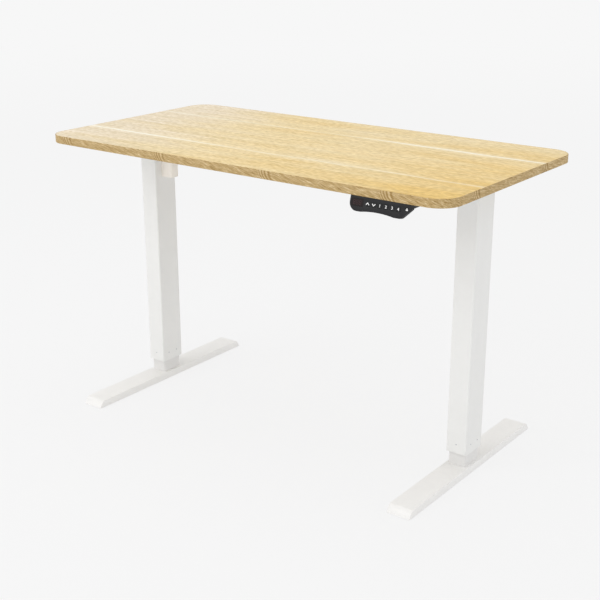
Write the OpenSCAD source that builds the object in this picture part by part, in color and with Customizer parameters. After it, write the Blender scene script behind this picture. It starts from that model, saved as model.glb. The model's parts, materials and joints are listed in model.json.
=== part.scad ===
// Height adjustable desk with one motor. A vertical motor beside the left column turns a
// cross shaft, and miter gears at the head of each column turn the two lifting screws.
// X runs along the top with +X at the user's right, Y runs to the back and Z up.
// The origin is on the floor, under the middle of the top. The desk is drawn at its lowest.

/* [Top] */
// Length of the top, left to right
top_length = 1200; // [1150:5:1600]
// Depth of the top, front to back
top_depth = 610; // [560:5:800]
// Thickness of the top
top_thickness = 20; // [18:1:30]
// Radius of the four corners in plan
top_corner_r = 55; // [20:1:90]
// Thickness of the band glued round the edge of the board
band_t = 1.6; // [1.2:0.1:3]
// Radius on the band's upper and lower edge
band_edge_r = 1; // [0.4:0.1:1.2]
// Height of the top's surface above the floor at its lowest
rest_height = 752; // [740:1:800]
// How far the top rises
stroke = 450; // [300:5:455]

/* [Columns] */
// Distance from each end of the top to the middle of its leg
leg_inset = 100; // [80:5:150]
// Width of the outer column, left to right
outer_w = 55; // [54:0.5:60]
// Depth of the outer column, front to back
outer_d = 78; // [76:1:90]
// Wall of the outer column
outer_wall = 2; // [1.5:0.1:2.5]
// Outer radius of the outer column's corners
outer_r = 4; // [3:0.5:7]
// Gap that the glides fill between the two columns' side walls
glide_side_t = 2.5; // [2:0.1:3]
// Gap that the glides fill between the two columns' front and back walls
glide_front_t = 5; // [3.5:0.1:6]
// Wall of the inner column
inner_wall = 2; // [1.5:0.1:2.5]
// Outer radius of the inner column's corners
inner_r = 3.5; // [3:0.5:5]
// Length of inner column that shows below the outer one at rest
inner_show = 35; // [25:1:50]
// Room between the head of the inner column and the gearbox at rest
head_room = 54; // [50:1:70]
// Clearance between a glide and the column that slides on it
glide_clearance = 0.3; // [0.3:0.05:0.6]
// Height of each plastic glide
glide_h = 40; // [30:1:45]
// Thickness of the plates welded into the ends of the columns
end_plate_t = 4; // [3:0.5:5]
// Height of the glide screws above the lower end of the outer column
dot_h = 23; // [15:1:26]
// Distance between the two glide screws on a side face
dot_spacing = 32; // [20:1:40]
// Radius of a glide screw's head
dot_r = 1.9; // [1.7:0.1:3]

/* [Feet] */
// Length of a foot, front to back
foot_length = 596; // [500:2:700]
// Width of a foot
foot_w = 62; // [58:1:80]
// Height of the foot's upper face above the floor
foot_h = 20; // [18:0.5:30]
// Sheet thickness of the foot
foot_wall = 2; // [1.5:0.1:3]
// Length of the sloping nose at each end of a foot
nose_l = 15; // [12:0.5:24]
// Radius to which the nose is bowed
nose_r = 30; // [24:1:60]
// Height by which the rubber pads lift the foot
pad_lift = 1; // [0.5:0.5:4]
// Width of a rubber pad
pad_w = 44; // [30:1:54]
// Length of a rubber pad, front to back
pad_l = 40; // [20:1:60]
// Spacing of the foot screws, left to right
foot_screw_x = 22; // [18:1:24]
// Spacing of the foot screws, front to back
foot_screw_y = 40; // [30:1:44]

/* [Frame] */
// Depth of the side brackets below the top
bracket_h = 38; // [36:1:42]
// Gap between the handset and the front end of a side bracket
bracket_gap = 16; // [8:1:30]
// Depth of a side bracket at its two ends
bracket_end_h = 14; // [10:1:20]
// Length of the level middle of a side bracket
bracket_level = 240; // [220:5:280]
// Sheet thickness of the side brackets
bracket_wall = 2.5; // [2:0.1:3]
// Width of a side bracket's flange under the top
flange_w = 15; // [13:0.5:20]
// Distance of each rail from the middle of the columns
rail_y = 80; // [72:1:85]
// Width of a rail, front to back
rail_w = 20; // [16:1:24]
// Height of a rail
rail_h = 30; // [24:1:31]
// Wall of a rail
rail_wall = 2; // [1.5:0.1:3]
// Width of the plate welded to each end of a rail
rail_plate_w = 48; // [46:1:50]

/* [Lift drive] */
// Diameter of the lifting screws
screw_d = 14; // [12:0.5:16]
// Diameter of the screw's journal in its bearing
journal_d = 10; // [8:0.5:10.5]
// Running clearance of a shaft in its hole, on the radius
shaft_clearance = 0.09; // [0.09:0.01:0.15]
// Height of the lifting nut
nut_h = 28; // [20:1:35]
// Diameter of the lifting nut's body
nut_d = 26; // [22:0.5:30]
// Distance of the cross shaft's axis below the top
shaft_drop = 20; // [19.5:0.1:20.5]
// Width across the flats of the hexagonal cross shaft
hex_af = 7; // [6:0.5:7.5]
// Number of teeth on every miter gear
gear_teeth = 16; // [14:2:18]
// Pitch radius of the gears on the lifting screws
screw_gear_r = 12; // [11.5:0.1:12.5]
// Pitch radius of the gears at the motor
motor_gear_r = 9; // [8.5:0.1:9.5]
// Share of the pitch circle left free between meshing teeth
gear_backlash = 0.16; // [0.12:0.01:0.25]
// Outer diameter of the screw bearings
bearing_d = 28; // [26:0.5:29]
// Height of the screw bearings
bearing_h = 8; // [6:0.5:9]
// Wall of the gearbox casings
casing_wall = 3; // [2.5:0.1:3.2]

/* [Motor] */
// Width of the motor cover, measured from the column's face
motor_cover_w = 38; // [37:0.5:42]
// Depth of the motor cover, front to back
motor_cover_d = 30; // [29:0.5:36]
// Length of the motor cover below the top
motor_cover_h = 128; // [124:1:160]
// Wall of the motor cover
motor_cover_wall = 1.5; // [1:0.1:2]
// Radius of the motor cover's outer corners
motor_cover_r = 7; // [3:0.5:7]
// Thickness of the flat-sided motor, front to back
motor_d = 24; // [20:0.5:25]
// Width of the motor
motor_w = 31; // [26:0.5:32]
// Length of the motor's can
motor_l = 54; // [45:1:56]

/* [Control box] */
// Length of the control box, left to right
box_l = 240; // [180:5:300]
// Depth of the control box, front to back
box_d = 88; // [70:1:100]
// Height of the control box
box_h = 33; // [28:1:36]
// Wall of the control box
box_wall = 2; // [1.5:0.1:3]
// Gap between the rear rail and the control box
box_gap = 30; // [15:1:50]

/* [Handset] */
// Width of the handset's panel
handset_w = 154; // [150:1:180]
// Height of the panel at its two rounded lobes
handset_h = 33; // [30:0.5:40]
// Rise of the panel's lower edge between the lobes
handset_arch = 3.6; // [2:0.2:5]
// Width of that rise
handset_arch_w = 84; // [60:1:86]
// Radius of the panel's left lower corner
handset_r = 19; // [12:0.5:22]
// Size of the slanting corner at the panel's lower right
handset_slant = 23.5; // [12:0.5:25]
// Radius below the slanting corner
handset_slant_r = 12; // [6:0.5:14]
// Angle by which the panel leans to face the user
handset_tilt = 15; // [5:1:25]
// Depth of the tilted part of the handset
handset_t = 9; // [9:0.5:12]
// Wall of the handset's shell
handset_wall = 1.8; // [1.4:0.1:2]
// Distance from the right end of the top to the middle of the handset
handset_from_end = 161; // [120:1:400]
// Distance of the panel's upper edge behind the front edge of the top
handset_setback = 2; // [0:0.5:8]
// Depth of the level part that is screwed under the top
handset_base_d = 52; // [44:1:70]
// Height of the level part
handset_base_h = 10; // [9:0.5:12]
// Thickness of the fascia
fascia_t = 2; // [1.6:0.1:2.2]
// Width of a key
key_w = 11; // [8:0.5:12]
// Height of a key
key_h = 10; // [8:0.5:12]
// Distance from key to key
key_pitch = 15.2; // [14:0.1:15.5]
// Distance of the row of keys below the top
key_drop = 14; // [13:0.5:16]
// Radius of the round lock key at the right end
lock_key_r = 3.8; // [3:0.1:4.2]
// Travel of a key
key_travel = 0.8; // [0.5:0.1:1]
// Gap round a key in the fascia
key_gap = 0.3; // [0.2:0.05:0.4]

/* [Hidden] */
$fn = 48;

// A hair by which cuts run past the faces that they open
cut = 1;

// Heights, all above the floor
under_z = rest_height - top_thickness;
web_z = under_z - bracket_h;
outer_z = foot_h + inner_show;
// Middle of the arc of a foot's nose, which runs from the floor side to the foot's upper face
nose_h = foot_h - pad_lift;
nose_chord = sqrt(nose_l * nose_l + nose_h * nose_h);
nose_sink = sqrt(nose_r * nose_r - nose_chord * nose_chord / 4);
nose_y = foot_length / 2 - nose_l / 2 - nose_sink * nose_h / nose_chord;
nose_z = pad_lift + nose_h / 2 - nose_sink * nose_l / nose_chord;
inner_top_z = web_z - head_room;
shaft_z = under_z - shaft_drop;
nut_z = inner_top_z - nut_h;
thread_runout = 12;
thread_z = nut_z - stroke - thread_runout;

// Legs and columns
leg_spacing = top_length - 2 * leg_inset;
outer_in_w = outer_w - 2 * outer_wall;
outer_in_d = outer_d - 2 * outer_wall;
outer_in_r = outer_r - outer_wall;
inner_w = outer_in_w - 2 * glide_side_t;
inner_d = outer_in_d - 2 * glide_front_t;
inner_in_w = inner_w - 2 * inner_wall;
inner_in_d = inner_d - 2 * inner_wall;
inner_in_r = inner_r - inner_wall;

// Bolts and screws
bolt_r = 3;
bolt_head_r = 5;
bolt_head_h = 3.5;
bolt_slack = 0.25;
wood_screw_r = 1.9;
wood_head_r = 4;
wood_head_h = 2.2;
wood_bite = 12;

// Side brackets, which stop short of the handset at the front and are the same at the back
bracket_length = top_depth - 2 * (handset_setback + handset_base_d + bracket_gap);

// Gearbox casing, about the point where the shaft crosses the screw's axis
casing_x = outer_w / 2 - bracket_wall - 1;
casing_y = 19;
casing_z0 = web_z + bracket_wall;
casing_z1 = under_z - casing_wall;
casing_ear_y = 36;
casing_ear_t = 4;
casing_bolt_x = 17;
casing_bolt_y = 28;
tooth_rise = 0.9;
tip_r = screw_gear_r * (1 + 2 * tooth_rise / gear_teeth * cos(45));
gear_cavity = tip_r + 2;
cavity_z = shaft_z - tip_r - 0.5;
hub_r = 7.5;
gear_face = 0.38;
spigot_r = bearing_d / 2 + casing_wall;
bearing_z = web_z - bearing_h - 2;
shaft_end = casing_x - 1.5;
hex_r = hex_af / sqrt(3);
hex_slack = 1.5;

// Motor, beside the inner face of the left column
motor_face_x = -leg_spacing / 2 + outer_w / 2;
motor_x = motor_face_x + motor_cover_w / 2;
motor_plate_t = 2.5;
motor_bracket_l = 34;
gearhead_r = 11.5;
gearhead_l = 30;
gearhead_z = web_z - gearhead_l;
motor_z = gearhead_z - motor_l;
motor_shaft_r = 3;
motor_hub_r = 5.5;

// Control box
box_y = rail_y + rail_w / 2 + box_gap + box_d / 2;
box_lid_t = 3;
box_ear = 14;
box_r = 6;
board_t = 1.6;
board_gap = 6;
transformer = [46, 40, 17];
capacitor_r = 7;
capacitor_h = 15;
capacitor_pitch = 18;
relay = [15, 12, 12];
relay_pitch = 20;
socket = [12, 12, 10];
socket_pitch = 20;
socket_y = 6;
parts_x = -30;

// Handset
handset_x = top_length / 2 - handset_from_end;
handset_y = -top_depth / 2 + handset_setback;
shell_inset = 0.3;
base_inset = 2;
board_sheet_t = 1.2;
board_sheet_h = 18;
switch_w = 6;
switch_h = 1.8;
key_proud = 0.3;
key_lip = 0.8;
key_lip_t = 1.1;
key_r = 1.5;
window_w = 32;
window_h = 17;
window_x = -handset_w / 2 + window_w / 2 + 2.9;
first_key_x = window_x + 26.6;
handset_arch_x = -6;
// The slanting corner is the line where x - y is slant_xy. The lock key's lip clears the shell there
slant_xy = handset_w / 2 + handset_h - handset_slant;
lock_room = lock_key_r + key_lip + handset_wall + 0.6;
lock_key_x = handset_w / 2 - 12;
lock_key_y = lock_key_x - slant_xy + lock_room * sqrt(2);
window_t = 1.2;
handset_screw_x = handset_w / 2 - 16;
handset_screw_y = handset_y + handset_base_d - 14;

// ---------------------------------------------------------------- shapes in plan

// Rectangle with rounded corners, centred
module round_rect(w, d, r) {
    square([w - 2 * r, d], center = true);
    square([w, d - 2 * r], center = true);
    for (x = [-1, 1], y = [-1, 1])
        translate([x * (w / 2 - r), y * (d / 2 - r)]) circle(r);
}

// Upright bar with rounded corners from z0 to z1
module bar(w, d, r, z0, z1) {
    translate([0, 0, z0]) linear_extrude(z1 - z0) round_rect(w, d, r);
}

// Box between two corners
module block(low, high) {
    translate(low) cube(high - low);
}

// Upright round rod from z0 to z1
module rod(r, z0, z1) {
    translate([0, 0, z0]) cylinder(h = z1 - z0, r = r);
}

// Round rod along X from x0 to x1
module rod_x(r, x0, x1) {
    translate([x0, 0, 0]) rotate([0, 90, 0]) cylinder(h = x1 - x0, r = r);
}

// Puts its children at the left leg (-1) or the right leg (1)
module at_leg(side) {
    translate([side * leg_spacing / 2, 0, 0]) children();
}

// Puts its children at the four corners of a rectangle
module at_corners(x, y) {
    for (sx = [-1, 1], sy = [-1, 1]) translate([sx * x, sy * y, 0]) children();
}

// ---------------------------------------------------------------- feet and inner columns

// Side view of a foot, inset by t: Y to the right and Z up, with a bowed nose at each end
module foot_profile(t, z0) {
    top = foot_h - t;
    translate([-nose_y, z0]) square([2 * nose_y, top - z0]);
    for (side = [-1, 1]) intersection() {
        translate([side * nose_y, nose_z]) circle(nose_r - t, $fn = 96);
        translate([side > 0 ? 0 : -foot_length, z0]) square([foot_length, top - z0]);
    }
}

// Foot profile extruded across X, inset by t all round
module foot_solid(t, z0) {
    rotate([90, 0, 90]) translate([0, 0, t - foot_w / 2])
        linear_extrude(foot_w - 2 * t) foot_profile(t, z0);
}

// Pressed steel foot: an open channel with bowed noses and two cross ribs
module foot() {
    difference() {
        foot_solid(0, pad_lift);
        difference() {
            foot_solid(foot_wall, pad_lift - cut);
            for (side = [-1, 1]) foot_rib(side);
        }
        at_corners(foot_screw_x / 2, foot_screw_y / 2) rod(bolt_r + bolt_slack, 0, foot_h + cut);
    }
}

// Rib across the foot, in front of or behind the column
module foot_rib(side) {
    y = side * (inner_d / 2 + 12);
    block([-foot_w / 2, y - foot_wall / 2, pad_lift + 2],
        [foot_w / 2, y + foot_wall / 2, foot_h]);
}

// Two rubber pads in the ends of the channel, which stand proud below it
module foot_pads() {
    end_y = foot_length / 2 - nose_l - foot_wall;
    for (side = [-1, 1]) translate([0, side * (end_y - pad_l / 2), 0])
        bar(pad_w, pad_l, 2, 0, foot_h - foot_wall);
}

// Four bolts that hold the foot to the column's welded end plate
module foot_screws() {
    at_corners(foot_screw_x / 2, foot_screw_y / 2) {
        rod(bolt_r, foot_h - foot_wall, foot_h + end_plate_t);
        difference() {
            rod(bolt_head_r, foot_h - foot_wall - bolt_head_h, foot_h - foot_wall);
            translate([0, 0, foot_h - foot_wall - bolt_head_h - cut])
                cylinder(h = 2 + cut, r = 2.5, $fn = 6);
        }
    }
}

// Inner column, welded shut at its foot by a plate with four tapped holes
module inner_column() {
    difference() {
        bar(inner_w, inner_d, inner_r, foot_h, inner_top_z);
        bar(inner_in_w, inner_in_d, inner_in_r, foot_h + end_plate_t, inner_top_z + cut);
        at_corners(foot_screw_x / 2, foot_screw_y / 2)
            rod(bolt_r, foot_h - cut, foot_h + end_plate_t + cut);
    }
}

// Plastic sleeve between w and d inside and out, relieved in the middle of its four walls
module glide(in_w, in_d, in_r, out_w, out_d, out_r, z0) {
    relief = 12;
    relief_z = z0 + glide_h - 10;
    difference() {
        bar(out_w, out_d, out_r, z0, z0 + glide_h);
        bar(in_w, in_d, in_r, z0 - cut, z0 + glide_h + cut);
        block([-out_w, -relief / 2, relief_z], [out_w, relief / 2, z0 + glide_h + cut]);
        block([-relief / 2, -out_d, relief_z], [relief / 2, out_d, z0 + glide_h + cut]);
        glide_screw_holes(bolt_slack);
    }
}

// Glide on the head of the inner column, which slides inside the outer one
module upper_glide() {
    c = 2 * glide_clearance;
    glide(inner_w, inner_d, inner_r, outer_in_w - c, outer_in_d - c,
        max(outer_in_r, 1), inner_top_z - glide_h - 2);
}

// Cast block in the head of the inner column that holds the nut
module nut_carrier() {
    difference() {
        union() {
            bar(inner_in_w, inner_in_d, inner_in_r, nut_z - 4, inner_top_z);
            bar(inner_w, inner_d, inner_r, inner_top_z, inner_top_z + 3);
        }
        rod(nut_d / 2, nut_z - 4 - cut, inner_top_z + 3 + cut);
        for (side = [-1, 1]) translate([0, side * (nut_d / 2 + inner_in_d / 2) / 2, 0])
            bar(inner_in_w - 14, 8, 2, nut_z - 4 - cut, inner_top_z - 6);
    }
}

// Flanged nut on the lifting screw
module lift_nut() {
    difference() {
        union() {
            rod(nut_d / 2, nut_z, inner_top_z + 3);
            rod(nut_d / 2 + 5, inner_top_z + 3, inner_top_z + 7);
        }
        rod(screw_d / 2 + shaft_clearance, nut_z - cut, inner_top_z + 7 + cut);
    }
}

// ---------------------------------------------------------------- outer columns

// Shanks of the glide screws: one on the front and back faces, two on each side face
module glide_screw_axes() {
    z = outer_z + dot_h;
    for (side = [0, 180]) {
        rotate([0, 0, side]) translate([0, -outer_d / 2, z]) rotate([90, 0, 0]) children();
        for (y = [-1, 1]) rotate([0, 0, side])
            translate([outer_w / 2, y * dot_spacing / 2, z]) rotate([0, 90, 0]) children();
    }
}

// Holes for the glide screws, through the wall of the outer column and the lower glide
module glide_screw_holes(slack) {
    glide_screw_axes() translate([0, 0, -outer_wall - 1.6])
        cylinder(h = outer_wall + 1.6 + cut, r = 1.3 + slack / 2, $fn = 24);
}

// Outer column with a plate welded into its head
module outer_column() {
    difference() {
        bar(outer_w, outer_d, outer_r, outer_z, web_z);
        bar(outer_in_w, outer_in_d, outer_in_r, outer_z - cut, web_z - end_plate_t);
        rod(spigot_r, web_z - end_plate_t - cut, web_z + cut);
        at_corners(casing_bolt_x, casing_bolt_y) rod(bolt_r, web_z - end_plate_t - cut, web_z + cut);
        glide_screw_holes(bolt_slack);
    }
}

// Glide in the foot of the outer column, which slides on the inner one
module lower_glide() {
    c = 2 * glide_clearance;
    glide(inner_w + c, inner_d + c, inner_r, outer_in_w, outer_in_d,
        outer_in_r, outer_z + 2);
}

// Domed screws that hold the lower glides of both legs
module glide_screw_set() {
    glide_screw_axes() {
        translate([0, 0, -outer_wall - 1.2]) cylinder(h = outer_wall + 1.2, r = 1.3, $fn = 24);
        cylinder(h = 0.5, r1 = dot_r, r2 = dot_r - 0.5, $fn = 24);
    }
}

// ---------------------------------------------------------------- top and frame

// The board without its band
module tabletop() {
    color("burlywood") difference() {
        bar(top_length - 2 * band_t, top_depth - 2 * band_t, top_corner_r - band_t,
            under_z, rest_height);
        top_screw_axes() rod(wood_screw_r, -cut, wood_bite);
    }
}

// Section of the band: x outwards from the board's edge, y up
module band_profile() {
    r = band_edge_r;
    square([band_t - r, top_thickness]);
    translate([0, r]) square([band_t, top_thickness - 2 * r]);
    for (y = [r, top_thickness - r]) intersection() {
        translate([band_t - r, y]) circle(r);
        square([band_t, top_thickness]);
    }
}

// Straight length of band along X, with its outer face towards -Y
module band_run(length) {
    rotate([90, 0, -90]) translate([0, 0, -length / 2]) linear_extrude(length) band_profile();
}

// Band round the whole board: four straight runs and four corners
module edge_band() {
    r = top_corner_r;
    x = top_length / 2;
    y = top_depth / 2;
    color("tan") translate([0, 0, under_z]) {
        for (turn = [0, 180]) rotate([0, 0, turn]) {
            translate([0, -y + band_t, 0]) band_run(2 * (x - r));
            rotate([0, 0, 90]) translate([0, -x + band_t, 0]) band_run(2 * (y - r));
        }
        for (corner = [[1, 1, 0], [-1, 1, 90], [-1, -1, 180], [1, -1, 270]])
            translate([corner[0] * (x - r), corner[1] * (y - r), 0]) rotate([0, 0, corner[2]])
                rotate_extrude(angle = 90, $fn = 96) translate([r - band_t, 0]) band_profile();
    }
}

// Side view of a bracket, Y to the right and Z up, drawn inset by the sheet thickness t
module bracket_profile(t) {
    level = bracket_level / 2;
    end = bracket_length / 2;
    polygon([[-end + t, under_z + (t > 0 ? cut : 0)], [-end + t, under_z - bracket_end_h + t],
        [-level, web_z + t], [level, web_z + t], [end - t, under_z - bracket_end_h + t],
        [end - t, under_z + (t > 0 ? cut : 0)]]);
}

// Bracket profile extruded across X to the width w
module bracket_solid(w, t) {
    rotate([90, 0, 90]) translate([0, 0, -w / 2]) linear_extrude(w) bracket_profile(t);
}

// Pressed steel bracket: a tapered channel, open at the top, with flanges under the board
module side_bracket(side) {
    flange_z = under_z - bracket_wall;
    difference() {
        union() {
            bracket_solid(outer_w, 0);
            block([-outer_w / 2 - flange_w, -bracket_length / 2, flange_z],
                [outer_w / 2 + flange_w, bracket_length / 2, under_z]);
        }
        bracket_solid(outer_w - 2 * bracket_wall, bracket_wall);
        translate([0, 0, casing_z0 - bracket_wall - cut])
            cylinder(h = bracket_wall + 2 * cut, r = spigot_r);
        at_corners(casing_bolt_x, casing_bolt_y)
            rod(bolt_r + bolt_slack, web_z - cut, casing_z0 + cut);
        translate([0, 0, shaft_z]) rod_x(hex_r + hex_slack,
            side < 0 ? 0 : -outer_w / 2 - cut, side < 0 ? outer_w / 2 + cut : 0);
        rail_bolt_axes(side) cylinder(h = 3 * bracket_wall, r = bolt_r + bolt_slack, center = true);
        flange_screw_places() rod(wood_screw_r + bolt_slack, flange_z - cut, under_z + cut);
        for (y = [-1, 1]) translate([0, y * (bracket_level / 2 - 26), 0])
            bar(outer_w - 24, 26, 6, web_z - cut, casing_z0 + cut);
    }
}

// Places of the wood screws in a bracket's flanges, in plan
module flange_screw_places() {
    for (x = [-1, 1], y = [-1, -0.42, 0.42, 1])
        translate([x * (outer_w + flange_w) / 2, y * (bracket_length / 2 - 18), 0]) children();
}

// Places of the wood screws that hold the control box, in plan
module box_screw_places() {
    for (x = [-1, 1], y = [-1, 1])
        translate([x * (box_l + box_ear) / 2, box_y + y * (box_d / 2 - 12), 0]) children();
}

// Places of the wood screws that hold the handset, in plan
module handset_screw_places() {
    for (x = [-1, 1]) translate([handset_x + x * handset_screw_x, handset_screw_y, 0]) children();
}

// Every wood screw's axis, with z = 0 at the underside of the board
module top_screw_axes() {
    translate([0, 0, under_z]) {
        for (side = [-1, 1]) at_leg(side) flange_screw_places() children();
        box_screw_places() children();
        handset_screw_places() children();
    }
}

// Pan head wood screws up into the board
module wood_screw(head_z) {
    rod(wood_screw_r, head_z, wood_bite);
    translate([0, 0, head_z - wood_head_h])
        cylinder(h = wood_head_h, r1 = wood_head_r - 0.7, r2 = wood_head_r);
}

// All the screws that hold the frame, the control box and the handset to the board
module top_screws() {
    color("gainsboro") translate([0, 0, under_z]) {
        for (side = [-1, 1]) at_leg(side) flange_screw_places() wood_screw(-bracket_wall);
        box_screw_places() wood_screw(-box_lid_t);
        handset_screw_places() wood_screw(-handset_base_h / 2);
    }
}

// Axes of the rail bolts at one bracket's inner wall, along X
module rail_bolt_axes(side) {
    wall_x = -side * (outer_w / 2 - bracket_wall / 2);
    for (rail = [-1, 1], y = [-1, 1])
        translate([wall_x, rail * rail_y + y * (rail_plate_w / 2 - 6.5), rail_mid_z()])
            rotate([0, 90, 0]) children();
}

// Height of the middle of the rails
function rail_mid_z() = web_z + bracket_h / 2 - 1;

// Rectangular tube between the brackets, with a plate welded to each end
module rail() {
    plate_t = 3;
    half = leg_spacing / 2 - outer_w / 2;
    z = rail_mid_z();
    difference() {
        union() {
            translate([0, 0, z]) rotate([0, 90, 0])
                bar(rail_h, rail_w, 2.5, -half + plate_t, half - plate_t);
            for (side = [-1, 1])
                translate([side * (half - plate_t / 2), 0, z]) rotate([0, 90, 0])
                    bar(rail_h, rail_plate_w, 3, -plate_t / 2, plate_t / 2);
        }
        translate([0, 0, z]) rotate([0, 90, 0])
            bar(rail_h - 2 * rail_wall, rail_w - 2 * rail_wall, 0.5, -half + plate_t, half - plate_t);
        for (side = [-1, 1], y = [-1, 1])
            translate([side * half, y * (rail_plate_w / 2 - 6.5), z]) rotate([0, 90, 0])
                cylinder(h = 4 * plate_t, r = bolt_r + bolt_slack, center = true);
    }
}

// Bolts of the frame: through each gearbox into its column, and through the rail plates
module frame_bolts() {
    plate_t = 3;
    color("silver") for (side = [-1, 1]) at_leg(side) {
        at_corners(casing_bolt_x, casing_bolt_y) {
            rod(bolt_r, web_z - end_plate_t, casing_z0 + casing_ear_t);
            rod(bolt_head_r, casing_z0 + casing_ear_t, casing_z0 + casing_ear_t + bolt_head_h);
        }
        rail_bolt_axes(side) {
            s = -side;
            inner = -s * bracket_wall / 2;
            outer = s * (bracket_wall / 2 + plate_t);
            translate([0, 0, min(inner, outer)]) cylinder(h = abs(outer - inner), r = bolt_r);
            translate([0, 0, inner - (s > 0 ? bolt_head_h : 0)])
                cylinder(h = bolt_head_h, r = bolt_head_r);
            translate([0, 0, outer - (s > 0 ? 0 : bolt_head_h)])
                cylinder(h = bolt_head_h, r = bolt_head_r, $fn = 6);
        }
    }
}

// ---------------------------------------------------------------- gearboxes and screws

// Section of a miter gear across its axis, at the pitch radius p
module gear_section(p) {
    pitch = 360 / gear_teeth;
    m = 2 * p / gear_teeth * cos(45);
    half = pitch / 4 * (1 - gear_backlash);
    lean = 2.5 * 16 / gear_teeth;
    polygon([for (i = [0:gear_teeth - 1]) for (point = [
            [p - 1.2 * m, -half - 1.15 * lean], [p, -half], [p + tooth_rise * m, -half + lean],
            [p + tooth_rise * m, half - lean], [p, half], [p - 1.2 * m, half + 1.15 * lean]])
        point[0] * [cos(i * pitch + point[1]), sin(i * pitch + point[1])]]);
}

// Miter gear with its apex at the origin and its teeth facing up: a cone cut to the face width
module miter_teeth(p) {
    depth = gear_face * p;
    translate([0, 0, -p]) linear_extrude(depth, scale = 1 - gear_face) gear_section(p);
}

// Point where the shaft crosses a lifting screw's axis
module at_screw_apex(side) {
    at_leg(side) translate([0, 0, shaft_z]) children();
}

// Point where the shaft crosses the motor's axis
module at_motor_apex() {
    translate([motor_x, 0, shaft_z]) children();
}

// Gear on a lifting screw, with a hub that stands on the bearing
module screw_gear() {
    difference() {
        union() {
            miter_teeth(screw_gear_r);
            rod(hub_r - 0.5, bearing_z + bearing_h + 0.3 - shaft_z, -screw_gear_r);
        }
        rod(journal_d / 2, -2 * bracket_h, 0);
    }
}

// Gear on the cross shaft at a screw, on the +X side, turned half a tooth to mesh
module shaft_gear() {
    difference() {
        union() {
            rotate([0, -90, 0]) rotate([0, 0, 180 / gear_teeth]) miter_teeth(screw_gear_r);
            rod_x(hub_r, screw_gear_r - 1, casing_x);
        }
        rotate([0, 90, 0]) cylinder(h = 3 * casing_x, r = hex_r, $fn = 6);
    }
}

// Gear on the cross shaft at the motor
module motor_gear() {
    color("goldenrod") at_motor_apex() difference() {
        union() {
            rotate([0, -90, 0]) rotate([0, 0, 180 / gear_teeth]) miter_teeth(motor_gear_r);
            rod_x(motor_hub_r, motor_gear_r - 1, motor_gear_r + 4);
        }
        rotate([0, 90, 0]) cylinder(h = 3 * motor_gear_r, r = hex_r, $fn = 6);
    }
}

// Gear on the motor's output shaft
module motor_pinion() {
    plate_top = web_z + motor_plate_t - shaft_z;
    color("goldenrod") at_motor_apex() {
        miter_teeth(motor_gear_r);
        rod(motor_hub_r, plate_top + 0.6, -motor_gear_r);
        rod(motor_shaft_r, web_z - 8 - shaft_z, plate_top + 0.6);
    }
}

// Hexagonal rod from the left gearbox to the right one
module drive_shaft() {
    color("silver") translate([-leg_spacing / 2 - shaft_end, 0, shaft_z]) rotate([0, 90, 0])
        cylinder(h = leg_spacing + 2 * shaft_end, r = hex_r, $fn = 6);
}

// Lifting screw: thread, shoulder under the bearing and journal up into its gear
module lead_screw() {
    rod(screw_d / 2, thread_z + 3, bearing_z - 0.3);
    translate([0, 0, thread_z]) cylinder(h = 3, r1 = screw_d / 2 - 2, r2 = screw_d / 2);
    rod(journal_d / 2, bearing_z - 0.3, shaft_z - screw_gear_r * (1 - gear_face));
}

// Bearing under the screw's gear: two rings and the dished shield between them
module screw_bearing() {
    r0 = journal_d / 2 + shaft_clearance;
    r1 = bearing_d / 2;
    ring = (r1 - r0) * 0.28;
    translate([0, 0, bearing_z]) rotate_extrude() {
        translate([r0, 0]) square([ring, bearing_h]);
        translate([r1 - ring, 0]) square([ring, bearing_h]);
        translate([r0, 0.6]) square([r1 - r0, bearing_h - 1.2]);
    }
}

// Cast gearbox on the head of a column, open at the top, with a spigot that holds the bearing
module gearbox() {
    difference() {
        union() {
            bar(2 * casing_x, 2 * casing_y, 3, casing_z0, casing_z1);
            bar(2 * casing_x, 2 * casing_ear_y, 4, casing_z0, casing_z0 + casing_ear_t);
            rod(spigot_r, bearing_z - 1.5, casing_z0);
            for (side = [-1, 1]) gearbox_rib(side);
        }
        block([-gear_cavity, -gear_cavity, cavity_z], [gear_cavity, gear_cavity, casing_z1 + cut]);
        rod(hub_r, bearing_z, cavity_z + cut);
        rod(bearing_d / 2, bearing_z - 1.5 - cut, bearing_z + bearing_h);
        translate([0, 0, shaft_z]) {
            rod_x(hub_r + shaft_clearance, 0, casing_x + cut);
            rod_x(hex_r + hex_slack, -casing_x - cut, 0);
        }
        at_corners(casing_bolt_x, casing_bolt_y)
            rod(bolt_r + bolt_slack, casing_z0 - cut, casing_z0 + casing_ear_t + cut);
    }
}

// Tapered rib from a gearbox's wall down to its ear
module gearbox_rib(side) {
    rotate([0, 0, side > 0 ? 0 : 180]) translate([0, casing_y, casing_z0 + casing_ear_t])
        rotate([90, 0, 90]) translate([0, 0, -1.5]) linear_extrude(3)
            polygon([[0, 0], [casing_ear_y - casing_y - 2, 0], [0, 14]]);
}

// Lids of the two gearboxes, each located by a step in the casing's mouth
module gearbox_lids() {
    color("darkgray") for (side = [-1, 1]) at_leg(side) {
        bar(2 * casing_x, 2 * casing_y, 3, casing_z1, under_z - 1);
        block([-gear_cavity, -gear_cavity, casing_z1 - 0.8], [gear_cavity, gear_cavity, casing_z1]);
    }
}

// ---------------------------------------------------------------- motor

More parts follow.
